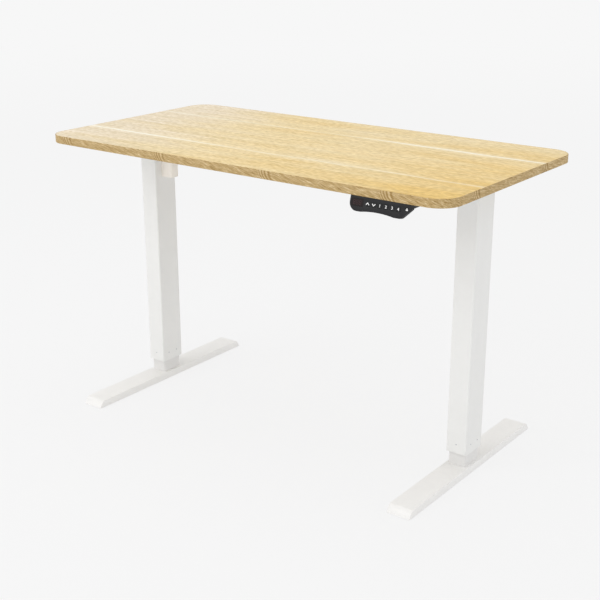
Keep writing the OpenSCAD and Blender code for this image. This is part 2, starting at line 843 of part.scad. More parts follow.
// Cover over the motor, open towards the column
module motor_cover() {
    w = motor_cover_w;
    t = motor_cover_wall;
    z0 = under_z - motor_cover_h;
    z1 = under_z - bracket_wall;
    color("whitesmoke") translate([motor_face_x, 0, 0]) difference() {
        motor_cover_solid(w, motor_cover_d, motor_cover_r, z0, z1);
        translate([-cut, 0, 0])
            motor_cover_solid(w - t + cut, motor_cover_d - 2 * t, motor_cover_r - t, z0 + t, z1 - t);
        translate([0, 0, shaft_z]) rod_x(motor_hub_r + 1, w / 2, w + cut);
        for (z = [z0 + 14:7:z0 + 42]) translate([w / 2 - 2, motor_cover_d / 2, z])
            cube([w / 2, 4 * t, 2.4], center = true);
    }
}

// Block on the column's face with its two outer upright edges rounded
module motor_cover_solid(w, d, r, z0, z1) {
    translate([0, 0, z0]) linear_extrude(z1 - z0) {
        translate([0, -d / 2]) square([w - r, d]);
        translate([0, -d / 2 + r]) square([w, d - 2 * r]);
        for (y = [-1, 1]) translate([w - r, y * (d / 2 - r)]) circle(r);
    }
}

// Motor with flat sides, crimped end cap and brush housing
module motor() {
    color("dimgray") translate([motor_x, 0, 0]) {
        bar(motor_w, motor_d, motor_d / 2 - 3, motor_z + 5, gearhead_z);
        bar(motor_w - 2, motor_d - 2, motor_d / 2 - 4, motor_z, motor_z + 5);
        for (x = [-1, 1]) translate([x * 8, 0, 0]) rod(2, motor_z - 3, motor_z);
    }
}

// Round planetary gearhead between the motor and its bracket
module motor_gearhead() {
    color("lightgray") translate([motor_x, 0, 0]) difference() {
        union() {
            rod(gearhead_r, gearhead_z, web_z);
            for (z = [gearhead_z + 4, gearhead_z + 15]) rod(gearhead_r + 0.5, z, z + 2);
            rod(motor_hub_r, web_z, web_z + motor_plate_t);
        }
        rod(motor_shaft_r + shaft_clearance, web_z - 8, web_z + motor_plate_t + cut);
    }
}

// Angle bracket that hangs the gearhead from the column's inner face
module motor_bracket() {
    half = motor_cover_d / 2 - motor_cover_wall - 0.5;
    reach = motor_cover_w - motor_cover_wall - 0.5;
    color("silver") translate([motor_face_x, 0, 0]) difference() {
        union() {
            motor_cover_solid(reach, 2 * half, motor_cover_r, web_z, web_z + motor_plate_t);
            block([0, -half, web_z - motor_bracket_l], [2, half, web_z]);
        }
        translate([motor_cover_w / 2, 0, 0]) rod(motor_hub_r, web_z - cut, web_z + motor_plate_t + cut);
    }
}

// ---------------------------------------------------------------- control box

// Moulded cover with ribs of vent slots in its two long walls
module control_box_cover() {
    z0 = under_z - box_h;
    z1 = under_z - box_lid_t;
    color("black") translate([0, box_y, 0]) difference() {
        bar(box_l, box_d, box_r, z0, z1);
        bar(box_l - 2 * box_wall, box_d - 2 * box_wall, box_r - box_wall, z0 + box_wall, z1 + cut);
        for (x = [-5:5]) translate([x * 8, 0, (z0 + z1) / 2])
            cube([3, 2 * box_d, 12], center = true);
        translate([-box_l / 2, -box_d / 4, (z0 + z1) / 2]) rod_x(6, -cut, box_wall + cut);
        for (i = [0, 1]) translate([-box_l / 2, socket_y + i * socket_pitch, (z0 + z1) / 2])
            cube([3 * box_wall, socket[1] + 1, socket[2] + 1], center = true);
    }
}

// Lid that is screwed under the board, with an ear at each end
module control_box_lid() {
    z0 = under_z - box_lid_t;
    color("dimgray") difference() {
        translate([0, box_y, 0]) bar(box_l + 2 * box_ear, box_d, box_r, z0, under_z);
        box_screw_places() rod(wood_screw_r + bolt_slack, z0 - cut, under_z + cut);
    }
}

// Circuit board with its transformer, capacitors, relays and two sockets for the leads
module control_board() {
    z = under_z - box_h + box_wall + board_gap;
    top = z + board_t;
    color("seagreen") translate([0, box_y, 0]) {
        bar(box_l - 2 * board_gap, box_d - 2 * board_gap, 2, z, top);
        at_corners(box_l / 2 - 14, box_d / 2 - 14) rod(2.5, z - board_gap, z);
        translate([box_l / 4, 0, 0]) bar(transformer[0], transformer[1], 3, top, top + transformer[2]);
        for (i = [0:2]) translate([parts_x + i * capacitor_pitch, -capacitor_pitch, 0])
            rod(capacitor_r, top, top + capacitor_h);
        for (i = [0, 1]) translate([parts_x + i * relay_pitch, capacitor_pitch - 4, 0])
            bar(relay[0], relay[1], 1, top, top + relay[2]);
        for (i = [0, 1])
            translate([-box_l / 2 + box_wall + 3 + socket[0] / 2, socket_y + i * socket_pitch, 0])
                bar(socket[0], socket[1], 1, top, top + socket[2]);
    }
}

// Gland for the mains lead in the box's left end
module mains_gland() {
    z = under_z - (box_h + box_lid_t) / 2;
    color("darkslategray") translate([-box_l / 2, box_y - box_d / 4, z]) rotate([0, -90, 0])
        rotate_extrude() polygon([[0, -box_wall - 2], [7.5, -box_wall - 2], [7.5, -box_wall],
            [6, -box_wall], [6, 0], [8, 0], [8, 2], [5.5, 3], [5.5, 5], [4.8, 5], [4.8, 7],
            [5.2, 7], [5.2, 9], [4.4, 9], [4.4, 12], [3.5, 12], [3.5, 2], [0, 2]]);
}

// ---------------------------------------------------------------- handset

// Places its children in the panel's plane: X right, Y up the panel, Z out to the user
module at_panel() {
    translate([handset_x, handset_y, under_z]) rotate([90 - handset_tilt, 0, 0]) children();
}

// Outline of the panel, inset by t: a round left lobe, a shallow arch and a slanting right corner
module panel_outline(t) {
    low = t - handset_h;
    arch_r = (pow(handset_arch_w / 2, 2) + pow(handset_arch, 2)) / (2 * handset_arch);
    difference() {
        union() {
            panel_left(handset_w / 2 - t, low, handset_r - t, -t);
            panel_right(handset_w / 2 - t, low, handset_slant_r - t, -t, slant_xy - t * sqrt(2));
        }
        translate([handset_arch_x, handset_arch - handset_h - arch_r])
            circle(arch_r + t, $fn = 360);
    }
}

// Left half of the panel's outline, as far as x = -half, with a lower corner of radius r
module panel_left(half, low, r, high) {
    translate([r - half, low]) square([half - r, high - low]);
    translate([-half, low + r]) square([half, high - low - r]);
    intersection() {
        translate([r - half, low + r]) circle(r, $fn = 64);
        translate([-half, low]) square([half, high - low]);
    }
}

// Right half of the panel's outline, as far as x = half, cut off where x - y is xy
module panel_right(half, low, r, high, xy) {
    x = xy + low - r * tan(22.5);
    bend = [for (a = [0:9:45]) [x + r * sin(a), low + r - r * cos(a)]];
    polygon(concat([[0, low]], bend, [[half, half - xy], [half, high], [0, high]]));
}

// Part of the panel between two depths behind its face
module panel_slab(t, z0, z1) {
    translate([0, 0, z0]) linear_extrude(z1 - z0) panel_outline(t);
}

// Puts its children at the middle of the display
module at_window() {
    translate([window_x, -key_drop, 0]) children();
}

// Puts its children at the middle of key i
module at_key(i) {
    translate(i < 6 ? [first_key_x + i * key_pitch, -key_drop, 0] : [lock_key_x, lock_key_y, 0])
        children();
}

// Form of key i, wider by grow all round
module key_form(i, grow, z0, z1) {
    at_key(i) {
        if (i < 6) bar(key_w + 2 * grow, key_h + 2 * grow, key_r + grow, z0, z1);
        else rod(lock_key_r + grow, z0, z1);
    }
}

// Moulded front of the handset, with openings for the keys and the display
module handset_fascia() {
    color("black") at_panel() difference() {
        panel_slab(0, -fascia_t, 0);
        for (i = [0:6]) key_form(i, key_gap, -fascia_t - cut, cut);
        at_window() {
            bar(window_w, window_h, 2, -window_t, cut);
            bar(window_w - 4, window_h - 4, 1, -fascia_t - cut, cut);
        }
    }
}

// Shell behind the fascia, and the level part that is screwed under the board
module handset_shell() {
    color("#202022") difference() {
        union() {
            at_panel() panel_slab(shell_inset, -handset_t, -fascia_t);
            handset_base();
        }
        at_panel() panel_slab(handset_wall, -handset_t + handset_wall, -fascia_t + cut);
        handset_base_recess();
        handset_screw_places() {
            rod(wood_screw_r + bolt_slack, under_z - handset_base_h - cut, under_z + cut);
            rod(wood_head_r + 0.4, under_z - handset_base_h - cut, under_z - handset_base_h / 2);
        }
        translate([handset_x, handset_y + handset_base_d, under_z - handset_base_h / 2])
            cube([11, 16, 5.5], center = true);
    }
}

// Level part of the shell: its side view, extruded across X. Its front leans with the panel
module handset_base() {
    w = handset_w - 2 * base_inset;
    lean = tan(handset_tilt) * handset_base_h;
    back = handset_t / 2 / cos(handset_tilt);
    translate([handset_x - w / 2, handset_y, under_z]) rotate([90, 0, 90]) linear_extrude(w)
        polygon([[back, 0], [handset_base_d, 0], [handset_base_d, -handset_base_h],
            [back - lean, -handset_base_h]]);
}

// Hollow in the top of the handset's level part, between its two screw bosses
module handset_base_recess() {
    y0 = handset_y + handset_t + 6;
    y1 = handset_y + handset_base_d - 12;
    half = handset_screw_x - 10;
    block([handset_x - half, y0, under_z - handset_base_h + handset_wall],
        [handset_x + half, y1, under_z + cut]);
}

// Smoked lens over the display
module display_window() {
    color("#301818") at_panel() at_window()
        bar(window_w - 0.2, window_h - 0.2, 1.9, -window_t, 0);
}

// Circuit board with a switch under each key and the display's module
module handset_board() {
    z0 = -handset_t + handset_wall;
    z1 = z0 + board_sheet_t;
    color("seagreen") at_panel() {
        intersection() {
            translate([0, -key_drop, 0])
                bar(handset_w - 2 * handset_wall - 12, board_sheet_h, 2, z0, z1);
            panel_slab(handset_wall + 0.4, z0, z1);
        }
        for (i = [0:6]) at_key(i) bar(switch_w, switch_w, 0.5, z1, z1 + switch_h);
        at_window() bar(window_w - 5, window_h - 5, 0.8, z1, -window_t - 0.1);
    }
}

// Key i: a cap with a lip that keeps it behind the fascia
module key(i) {
    lip_z = -fascia_t - 0.1;
    color("#1a1a1c") at_panel() {
        key_form(i, 0, lip_z - key_lip_t, key_proud);
        key_form(i, key_lip, lip_z - key_lip_t, lip_z);
    }
}

// ---------------------------------------------------------------- nodes

color("#e6e4e0") at_leg(-1) foot();  // left_foot
color("#e6e4e0") at_leg(1) foot();  // right_foot
color("#333333") at_leg(-1) foot_pads();  // left_foot_pads
color("#333333") at_leg(1) foot_pads();  // right_foot_pads
color("silver") at_leg(-1) foot_screws();  // left_foot_screws
color("silver") at_leg(1) foot_screws();  // right_foot_screws
color("#d9d6d2") at_leg(-1) inner_column();  // left_inner_column
color("#d9d6d2") at_leg(1) inner_column();  // right_inner_column
color("dimgray") at_leg(-1) upper_glide();  // left_upper_glide
color("dimgray") at_leg(1) upper_glide();  // right_upper_glide
color("darkgray") at_leg(-1) nut_carrier();  // left_nut_carrier
color("darkgray") at_leg(1) nut_carrier();  // right_nut_carrier
color("goldenrod") at_leg(-1) lift_nut();  // left_lift_nut
color("goldenrod") at_leg(1) lift_nut();  // right_lift_nut
tabletop();
edge_band();
color("#dddad5") at_leg(-1) side_bracket(-1);  // left_side_bracket
color("#dddad5") at_leg(1) side_bracket(1);  // right_side_bracket
color("#dddad5") translate([0, -rail_y, 0]) rail();  // front_rail
color("#dddad5") translate([0, rail_y, 0]) rail();  // rear_rail
color("#eeece8") at_leg(-1) outer_column();  // left_outer_column
color("#eeece8") at_leg(1) outer_column();  // right_outer_column
color("dimgray") at_leg(-1) lower_glide();  // left_lower_glide
color("dimgray") at_leg(1) lower_glide();  // right_lower_glide
color("darkgray") at_leg(-1) gearbox();  // left_gearbox
color("darkgray") at_leg(1) gearbox();  // right_gearbox
gearbox_lids();
color("silver") at_leg(-1) screw_bearing();  // left_screw_bearing
color("silver") at_leg(1) screw_bearing();  // right_screw_bearing
motor_cover();
motor();
motor_gearhead();
motor_bracket();
control_box_cover();
control_box_lid();
control_board();
mains_gland();
handset_shell();
handset_fascia();
display_window();
handset_board();
color("gray")  // glide_screws
    for (side = [-1, 1]) at_leg(side) glide_screw_set();
frame_bolts();
top_screws();
color("silver") at_leg(-1) lead_screw();  // left_lead_screw
color("silver") at_leg(1) lead_screw();  // right_lead_screw
color("goldenrod") at_screw_apex(-1) screw_gear();  // left_screw_gear
color("goldenrod") at_screw_apex(1) screw_gear();  // right_screw_gear
drive_shaft();
color("goldenrod") at_screw_apex(-1) shaft_gear();  // left_shaft_gear
color("goldenrod") at_screw_apex(1) shaft_gear();  // right_shaft_gear
motor_gear();
motor_pinion();
key(0);  // key_up
key(1);  // key_down
key(2);  // key_one
key(3);  // key_two
key(4);  // key_three
key(5);  // key_four
key(6);  // key_lock
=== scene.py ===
"""Looks of the height adjustable desk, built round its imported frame.

Every piece of the frame gets a finish. The pieces whose edges and print the eye rests on are
built again here as finer meshes: the top and its band, the feet, brackets, rails and covers,
the screws, and the handset with its keys. The marks on the keys and the unlit bars of the
display are added. The rest keep the frame's own meshes.
Lengths are in metres, in the frame's axes: X along the top, Y to the back and Z up.
"""

import json
import logging
import math
from dataclasses import dataclass, field
from enum import Enum
from typing import Any, Callable, Sequence

import bmesh
import bpy
from mathutils import Matrix, Vector

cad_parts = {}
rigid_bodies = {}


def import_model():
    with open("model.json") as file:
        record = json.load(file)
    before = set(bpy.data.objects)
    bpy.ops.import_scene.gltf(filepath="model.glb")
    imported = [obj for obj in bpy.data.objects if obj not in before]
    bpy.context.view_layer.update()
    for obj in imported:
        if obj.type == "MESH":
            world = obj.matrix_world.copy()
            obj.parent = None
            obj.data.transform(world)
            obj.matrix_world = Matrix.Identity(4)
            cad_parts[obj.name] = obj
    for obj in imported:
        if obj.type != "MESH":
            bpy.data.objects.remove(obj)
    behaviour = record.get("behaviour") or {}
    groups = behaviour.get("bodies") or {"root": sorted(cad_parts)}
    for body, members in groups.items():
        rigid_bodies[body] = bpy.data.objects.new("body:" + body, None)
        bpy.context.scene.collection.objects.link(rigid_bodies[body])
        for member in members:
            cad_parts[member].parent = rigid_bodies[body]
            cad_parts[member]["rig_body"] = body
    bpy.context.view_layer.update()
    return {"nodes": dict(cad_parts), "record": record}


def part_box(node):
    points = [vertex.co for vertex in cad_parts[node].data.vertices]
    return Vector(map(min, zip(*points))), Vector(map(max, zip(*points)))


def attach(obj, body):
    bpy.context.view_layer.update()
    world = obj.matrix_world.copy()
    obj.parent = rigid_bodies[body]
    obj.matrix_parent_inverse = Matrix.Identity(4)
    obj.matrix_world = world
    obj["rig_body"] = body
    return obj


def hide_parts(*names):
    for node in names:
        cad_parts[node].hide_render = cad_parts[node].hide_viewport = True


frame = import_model()
MM = 0.001
FLAT_ANGLE = 0.6  # in degrees: facets that meet at less than this are one flat face
SHARP_ANGLE = 32.0  # in degrees: edges above this are sharp
MITRE_LIMIT = 0.4  # the smallest cosine that a mitred corner is drawn out by
LOG = logging.getLogger("desk")

Colour = tuple[float, float, float, float]
Ring = list[Vector]
Outline = list[tuple[float, float]]
Socket = bpy.types.NodeSocket
Shape = bmesh.types.BMesh
Piece = bpy.types.Object

RIGHT = Vector((1.0, 0.0, 0.0))
UP = Vector((0.0, 0.0, 1.0))
WHITE: Colour = (1.0, 1.0, 1.0, 1.0)


class Slot(Enum):
    """Material slots of the record."""

    WOOD_TOP = "wood_top"
    EDGE_WOOD = "edge_wood"
    WHITE_PAINT = "white_paint"
    WHITE_PAINT_INNER = "white_paint_inner"
    WHITE_PLASTIC = "white_plastic"
    STEEL = "steel"
    BEARING_STEEL = "bearing_steel"
    DIE_CAST = "die_cast"
    BRONZE = "bronze"
    GLIDE_PLASTIC = "glide_plastic"
    RUBBER = "rubber"
    BLACK_PLASTIC = "black_plastic"
    KEY_PLASTIC = "key_plastic"
    LENS = "lens"
    BOARD_GREEN = "board_green"
    MOTOR_STEEL = "motor_steel"


Palette = dict[Slot, bpy.types.Material]


class Side(Enum):
    """The two legs, with the name that their pieces start with."""

    LEFT = "left"
    RIGHT = "right"


# ---------------------------------------------------------------- shader trees


def shade(red: int, green: int, blue: int) -> Colour:
    """Gives the linear colour of an 8-bit display colour.

    Args:
        red: Red from 0 to 255.
        green: Green from 0 to 255.
        blue: Blue from 0 to 255.

    Returns:
        The linear colour, with an alpha of 1.
    """
    parts = [c / 255 for c in (red, green, blue)]
    lin = [c / 12.92 if c <= 0.04045 else ((c + 0.055) / 1.055) ** 2.4 for c in parts]
    return (*lin, 1.0)


class Tree:
    """Adds and joins the nodes of one shader tree."""

    def __init__(self, tree: bpy.types.NodeTree) -> None:
        """Keeps the tree that the nodes go into."""
        self.tree = tree

    @classmethod
    def fresh(cls, owner: bpy.types.ID) -> "Tree":
        """Empties the tree of a material or a world.

        Args:
            owner: The material or world.

        Returns:
            Its tree, with no node in it.
        """
        owner.use_nodes = True
        owner.node_tree.nodes.clear()
        return cls(owner.node_tree)

    def feed(self, socket: Socket, value: Any) -> None:
        """Links a socket to another one, or sets its value.

        Args:
            socket: The input to fill.
            value: An output socket, or a plain value.
        """
        if isinstance(value, Socket):
            self.tree.links.new(value, socket)
        else:
            socket.default_value = value

    def fill(self, node: bpy.types.Node, sockets: dict) -> None:
        """Feeds several inputs of a node, given by name or number."""
        for key, value in sockets.items():
            self.feed(node.inputs[key], value)

    def add(self, kind: str, sockets: dict | None = None, **settings: Any) -> bpy.types.Node:
        """Adds a node.

        Args:
            kind: The node's type without the prefix, such as TexNoise.
            sockets: Values or sockets for its inputs, by name or number.
            **settings: Settings of the node itself.

        Returns:
            The new node.
        """
        made = self.tree.nodes.new("ShaderNode" + kind)
        for name, value in settings.items():
            setattr(made, name, value)
        self.fill(made, sockets or {})
        return made

    def calc(self, operation: str, *terms: Any, clamp: bool = False) -> Socket:
        """Gives the result of a Math node on one to three terms."""
        made = self.add("Math", dict(enumerate(terms)), operation=operation, use_clamp=clamp)
        return made.outputs[0]

    def times(self, first: Any, second: Any) -> Socket:
        """Gives the product of two terms."""
        return self.calc("MULTIPLY", first, second)

    def minus(self, first: Any, second: Any) -> Socket:
        """Gives the first term less the second."""
        return self.calc("SUBTRACT", first, second)

    def over(self, first: Any, second: Any) -> Socket:
        """Gives the first term divided by the second."""
        return self.calc("DIVIDE", first, second)

    def total(self, *terms: Any) -> Socket:
        """Gives the sum of two or more terms.

        Args:
            *terms: Values or sockets.

        Returns:
            Their sum.
        """
        result = terms[0]
        for term in terms[1:]:
            result = self.calc("ADD", result, term)
        return result

    def weigh(self, first: Any, second: Any, share: float) -> Socket:
        """Gives a share of the first value plus the rest of the second."""
        return self.total(self.times(first, share), self.times(second, 1 - share))

    def mix(self, factor: Any, first: Any, second: Any, mode: str = "MIX") -> Socket:
        """Blends two colours: the factor, from 0 to 1, is how much of the second one shows."""
        made = self.add("Mix", {0: factor, 6: first, 7: second}, data_type="RGBA", blend_type=mode)
        return made.outputs[2]

    def blend(self, share: Any, first: bpy.types.Node, second: bpy.types.Node) -> bpy.types.Node:
        """Blends two shaders: the share, from 0 to 1, is how much of the second one shows."""
        return self.add("MixShader", {0: share, 1: first.outputs[0], 2: second.outputs[0]})

    def remap(self, value: Any, low: float, high: float, to_low: float = 0.0,
              to_high: float = 1.0, smooth: bool = False) -> Socket:
        """Maps a value from one range to another and holds it there.

        Args:
            value: The value to map.
            low: The value that gives to_low.
            high: The value that gives to_high.
            to_low: The first end of the result.
            to_high: The second end of the result.
            smooth: True for a curve that eases in and out.

        Returns:
            The mapped value.
        """
        made = self.add(
            "MapRange",
            {"Value": value, "From Min": low, "From Max": high, "To Min": to_low, "To Max": to_high},
            interpolation_type="SMOOTHSTEP" if smooth else "LINEAR",
        )
        return made.outputs[0]

    def ramp(self, value: Any, stops: Sequence[tuple[float, Colour]]) -> Socket:
        """Gives a colour for a value.

        Args:
            value: The value, from 0 to 1.
            stops: Places from 0 to 1 and their colours, in order.

        Returns:
            The colour at that value.
        """
        made = self.add("ValToRGB", {0: value})
        elements = made.color_ramp.elements
        while len(elements) < len(stops):
            elements.new(1.0)
        for element, (place, colour) in zip(elements, stops):
            element.position = place
            element.color = colour
        return made.outputs[0]

    def noise(self, vector: Any, scale: Any = 1.0, detail: float = 2.0, rough: float = 0.5,
              twist: float = 0.0) -> Socket:
        """Gives soft noise from 0 to 1, with as many features in each unit of the vector as scale."""
        sockets = {"Vector": vector, "Scale": scale, "Detail": detail, "Roughness": rough,
                   "Distortion": twist}
        return self.add("TexNoise", sockets).outputs[0]

    def coordinates(self) -> Socket:
        """Gives the place on the object, in its own axes."""
        return self.add("TexCoord").outputs["Object"]

    def split(self, vector: Any) -> bpy.types.NodeOutputs:
        """Gives the X, Y and Z outputs of a vector."""
        return self.add("SeparateXYZ", {0: vector}).outputs

    def join(self, x: Any, y: Any, z: Any = 0.0) -> Socket:
        """Gives the vector of three values."""
        return self.add("CombineXYZ", {0: x, 1: y, 2: z}).outputs[0]

    def bump(self, height: Any, strength: float, distance: float) -> Socket:
        """Gives a normal raised by a height: full strength is 1, and distance is in metres."""
        sockets = {"Strength": strength, "Distance": distance, "Height": height}
        return self.add("Bump", sockets).outputs[0]


class Effects:
    """Shader groups that several finishes share. Each is built once, on first use."""

    def __init__(self) -> None:
        """Starts with no group built."""
        self.built: dict[str, bpy.types.NodeTree] = {}

    def group(self, name: str, inputs: dict[str, Any], outputs: Sequence[str]) -> tuple[Tree, Any, Any]:
        """Starts a shader group.

        Args:
            name: The group's name.
            inputs: Each input's name with its default, a number, or None for a vector.
            outputs: The names of its outputs, all values.

        Returns:
            The group's tree, its input node's outputs and its output node's inputs.
        """
        tree = bpy.data.node_groups.new(name, "ShaderNodeTree")
        for title, default in inputs.items():
            kind = "NodeSocketVector" if default is None else "NodeSocketFloat"
            socket = tree.interface.new_socket(title, in_out="INPUT", socket_type=kind)
            if default is not None:
                socket.default_value = default
        for title in outputs:
            tree.interface.new_socket(title, in_out="OUTPUT", socket_type="NodeSocketFloat")
        self.built[name] = tree
        source = tree.nodes.new("NodeGroupInput")
        sink = tree.nodes.new("NodeGroupOutput")
        return Tree(tree), source.outputs, sink.inputs

    def place(self, tree: Tree, name: str, sockets: dict[str, Any]) -> bpy.types.NodeOutputs:
        """Puts a shared group into a material.

        Args:
            tree: The material's tree.
            name: The group's name, which is also the name of the method that builds it.
            sockets: Values or sockets for the group's inputs.

        Returns:
            The placed group's outputs.
        """
        if name not in self.built:
            getattr(self, name)()
        made = tree.tree.nodes.new("ShaderNodeGroup")
        made.node_tree = self.built[name]
        tree.fill(made, sockets)
        return made.outputs

    def surface_grain(self) -> None:
        """Builds the fine relief of paint, mouldings and castings: grains on soft swells."""
        inputs = {"Vector": None, "Grain Size": 0.001, "Swell Size": 0.02}
        tree, given, result = self.group("surface_grain", inputs, ["Height", "Tone"])
        grain = tree.noise(given["Vector"], tree.over(1.0, given["Grain Size"]), detail=1.5, rough=0.45)
        swell = tree.noise(given["Vector"], tree.over(1.0, given["Swell Size"]))
        tree.feed(result["Height"], tree.weigh(grain, swell, 0.8))
        tree.feed(result["Tone"], tree.weigh(grain, swell, 0.3))

    def handling(self) -> None:
        """Builds the soft patches that hands and cloths leave: 0 is clean and 1 is dulled."""
        inputs = {"Vector": None, "Patch Size": 0.12}
        tree, given, result = self.group("handling", inputs, ["Mask"])
        scale = tree.over(1.0, given["Patch Size"])
        patches = tree.noise(given["Vector"], scale, detail=4.0, rough=0.62, twist=0.4)
        tree.feed(result["Mask"], tree.remap(patches, 0.46, 0.72, smooth=True))

    def wood_grain(self) -> None:
        """Builds long wood fibres along the vector's X, with short open pores and ray flecks.

        The fibres mix broad streaks with fine ones. They wander to both sides by the width that
        is given, and pores are sunk below them.
        """
        inputs = {"Vector": None, "Fibre Length": 0.3, "Fibre Width": 0.003, "Wander": 0.008,
                  "Fleck Length": 0.015, "Fleck Width": 0.0034}
        tree, given, result = self.group("wood_grain", inputs, ["Tone", "Pores", "Flecks", "Height"])
        along, across, up = tree.split(given["Vector"])
        bend = tree.noise(tree.join(tree.times(along, 2.2), tree.times(across, 9.0), up))
        bent = tree.total(across, tree.times(tree.minus(bend, 0.5), given["Wander"]))
        length = tree.over(along, given["Fibre Length"])
        width = tree.over(bent, given["Fibre Width"])
        broad = tree.noise(tree.join(length, tree.times(width, 0.4), up), rough=0.6)
        fine = tree.noise(tree.join(tree.times(length, 1.7), width, up), rough=0.65)
        tone = tree.remap(tree.weigh(broad, fine, 0.38), 0.34, 0.66)
        specks = tree.noise(tree.join(tree.times(length, 9.0), tree.times(width, 1.6), up), detail=1.0)
        pores = tree.remap(specks, 0.58, 0.7)
        fleck_place = tree.join(tree.over(along, given["Fleck Length"]),
                                tree.over(bent, given["Fleck Width"]), tree.total(up, 5.0))
        tree.feed(result["Tone"], tone)
        tree.feed(result["Pores"], pores)
        tree.feed(result["Flecks"], tree.remap(tree.noise(fleck_place, detail=1.0), 0.3, 0.7))
        tree.feed(result["Height"], tree.minus(tone, tree.times(pores, 0.6)))

    def tool_marks(self) -> None:
        """Builds fine parallel marks of turning, grinding or drawing, along the vector's X."""
        inputs = {"Vector": None, "Mark Length": 0.03, "Mark Width": 0.0002}
        tree, given, result = self.group("tool_marks", inputs, ["Height", "Tone"])
        along, across, up = tree.split(given["Vector"])
        marks = tree.noise(tree.join(tree.over(along, given["Mark Length"]),
                                     tree.over(across, given["Mark Width"]),
                                     tree.over(up, given["Mark Width"])))
        tree.feed(result["Height"], marks)
        tree.feed(result["Tone"], tree.remap(marks, 0.3, 0.7))


EFFECTS = Effects()


# ---------------------------------------------------------------- finishes


@dataclass(frozen=True)
class Finish:
    """What a finish can draw on: its name and main colour, its gloss, its relief and its grain.

    Where a finish uses them, tone_gloss is how far the tone of the grain sways the roughness,
    and dulling is how far handling raises it, in patches of patch_size.
    """

    name: str
    colour: Colour
    rough: float = 0.42
    specular: float = 0.5
    relief: float = 0.12
    relief_height: float = 0.06 * MM
    tone_gloss: float = 0.06
    dulling: float = 0.08
    patch_size: float = 0.12
    grain_size: float = 1.1 * MM
    swell_size: float = 25 * MM

    def surface(self, tree: Tree) -> dict[str, Any]:
        """Gives the values and sockets for the shader's inputs, by name."""
        raise NotImplementedError(self.name)

    def material(self) -> bpy.types.Material:
        """Makes the finish's material.

        Returns:
            The new material.
        """
        material = bpy.data.materials.new(self.name)
        tree = Tree.fresh(material)
        shader = tree.add("BsdfPrincipled", {"Base Color": self.colour, "Specular IOR Level": self.specular})
        tree.add("OutputMaterial", {"Surface": shader.outputs[0]})
        tree.fill(shader, self.surface(tree))
        return material

    def tinted(self, amount: float) -> Colour:
        """Gives the main colour times an amount."""
        return (*(min(1.0, c * amount) for c in self.colour[:3]), 1.0)

    def smudges(self, tree: Tree, place: Any) -> Socket:
        """Gives the mask of the patches that handling leaves."""
        return EFFECTS.place(tree, "handling", {"Vector": place, "Patch Size": self.patch_size})["Mask"]

    def fine_grain(self, tree: Tree, place: Any) -> bpy.types.NodeOutputs:
        """Gives the height and tone of a skin's grains and swells."""
        return EFFECTS.place(tree, "surface_grain", {
            "Vector": place, "Grain Size": self.grain_size, "Swell Size": self.swell_size})

    def roughness(self, tree: Tree, tone: Any, smudge: Any) -> Socket:
        """Gives the roughness, swayed by the tone of the grain and dulled by handling."""
        return tree.total(tree.times(smudge, self.dulling), tree.times(tone, self.tone_gloss),
                          self.rough - self.tone_gloss / 2)

    def raised(self, tree: Tree, height: Any) -> Socket:
        """Gives the normal of the finish's relief."""
        return tree.bump(height, self.relief, self.relief_height)


@dataclass(frozen=True)
class Oak(Finish):
    """Printed oak: a wood grain, the tints of its flecks and how far its pores show."""

    relief_height: float = 0.12 * MM
    fibre_length: float = 0.4
    fibre_width: float = 2.6 * MM
    wander: float = 20 * MM
    fleck_length: float = 15 * MM
    fleck_width: float = 3.4 * MM
    fleck_low: Colour = (0.82, 0.79, 0.7, 1.0)
    fleck_high: Colour = (1.14, 1.18, 1.28, 1.0)
    pore_share: float = 0.22

    def grain(self, tree: Tree, place: Any) -> bpy.types.NodeOutputs:
        """Gives the tone, pores, flecks and height of the wood at a place."""
        return EFFECTS.place(tree, "wood_grain", {
            "Vector": place, "Fibre Length": self.fibre_length, "Fibre Width": self.fibre_width,
            "Wander": self.wander, "Fleck Length": self.fleck_length, "Fleck Width": self.fleck_width})

    def tint(self, tree: Tree, ground: Any, mask: Any, low: Colour, high: Colour) -> Socket:
        """Multiplies a ground colour by one that runs from low to high with a mask."""
        return tree.mix(1.0, ground, tree.ramp(mask, [(0.0, low), (1.0, high)]), "MULTIPLY")


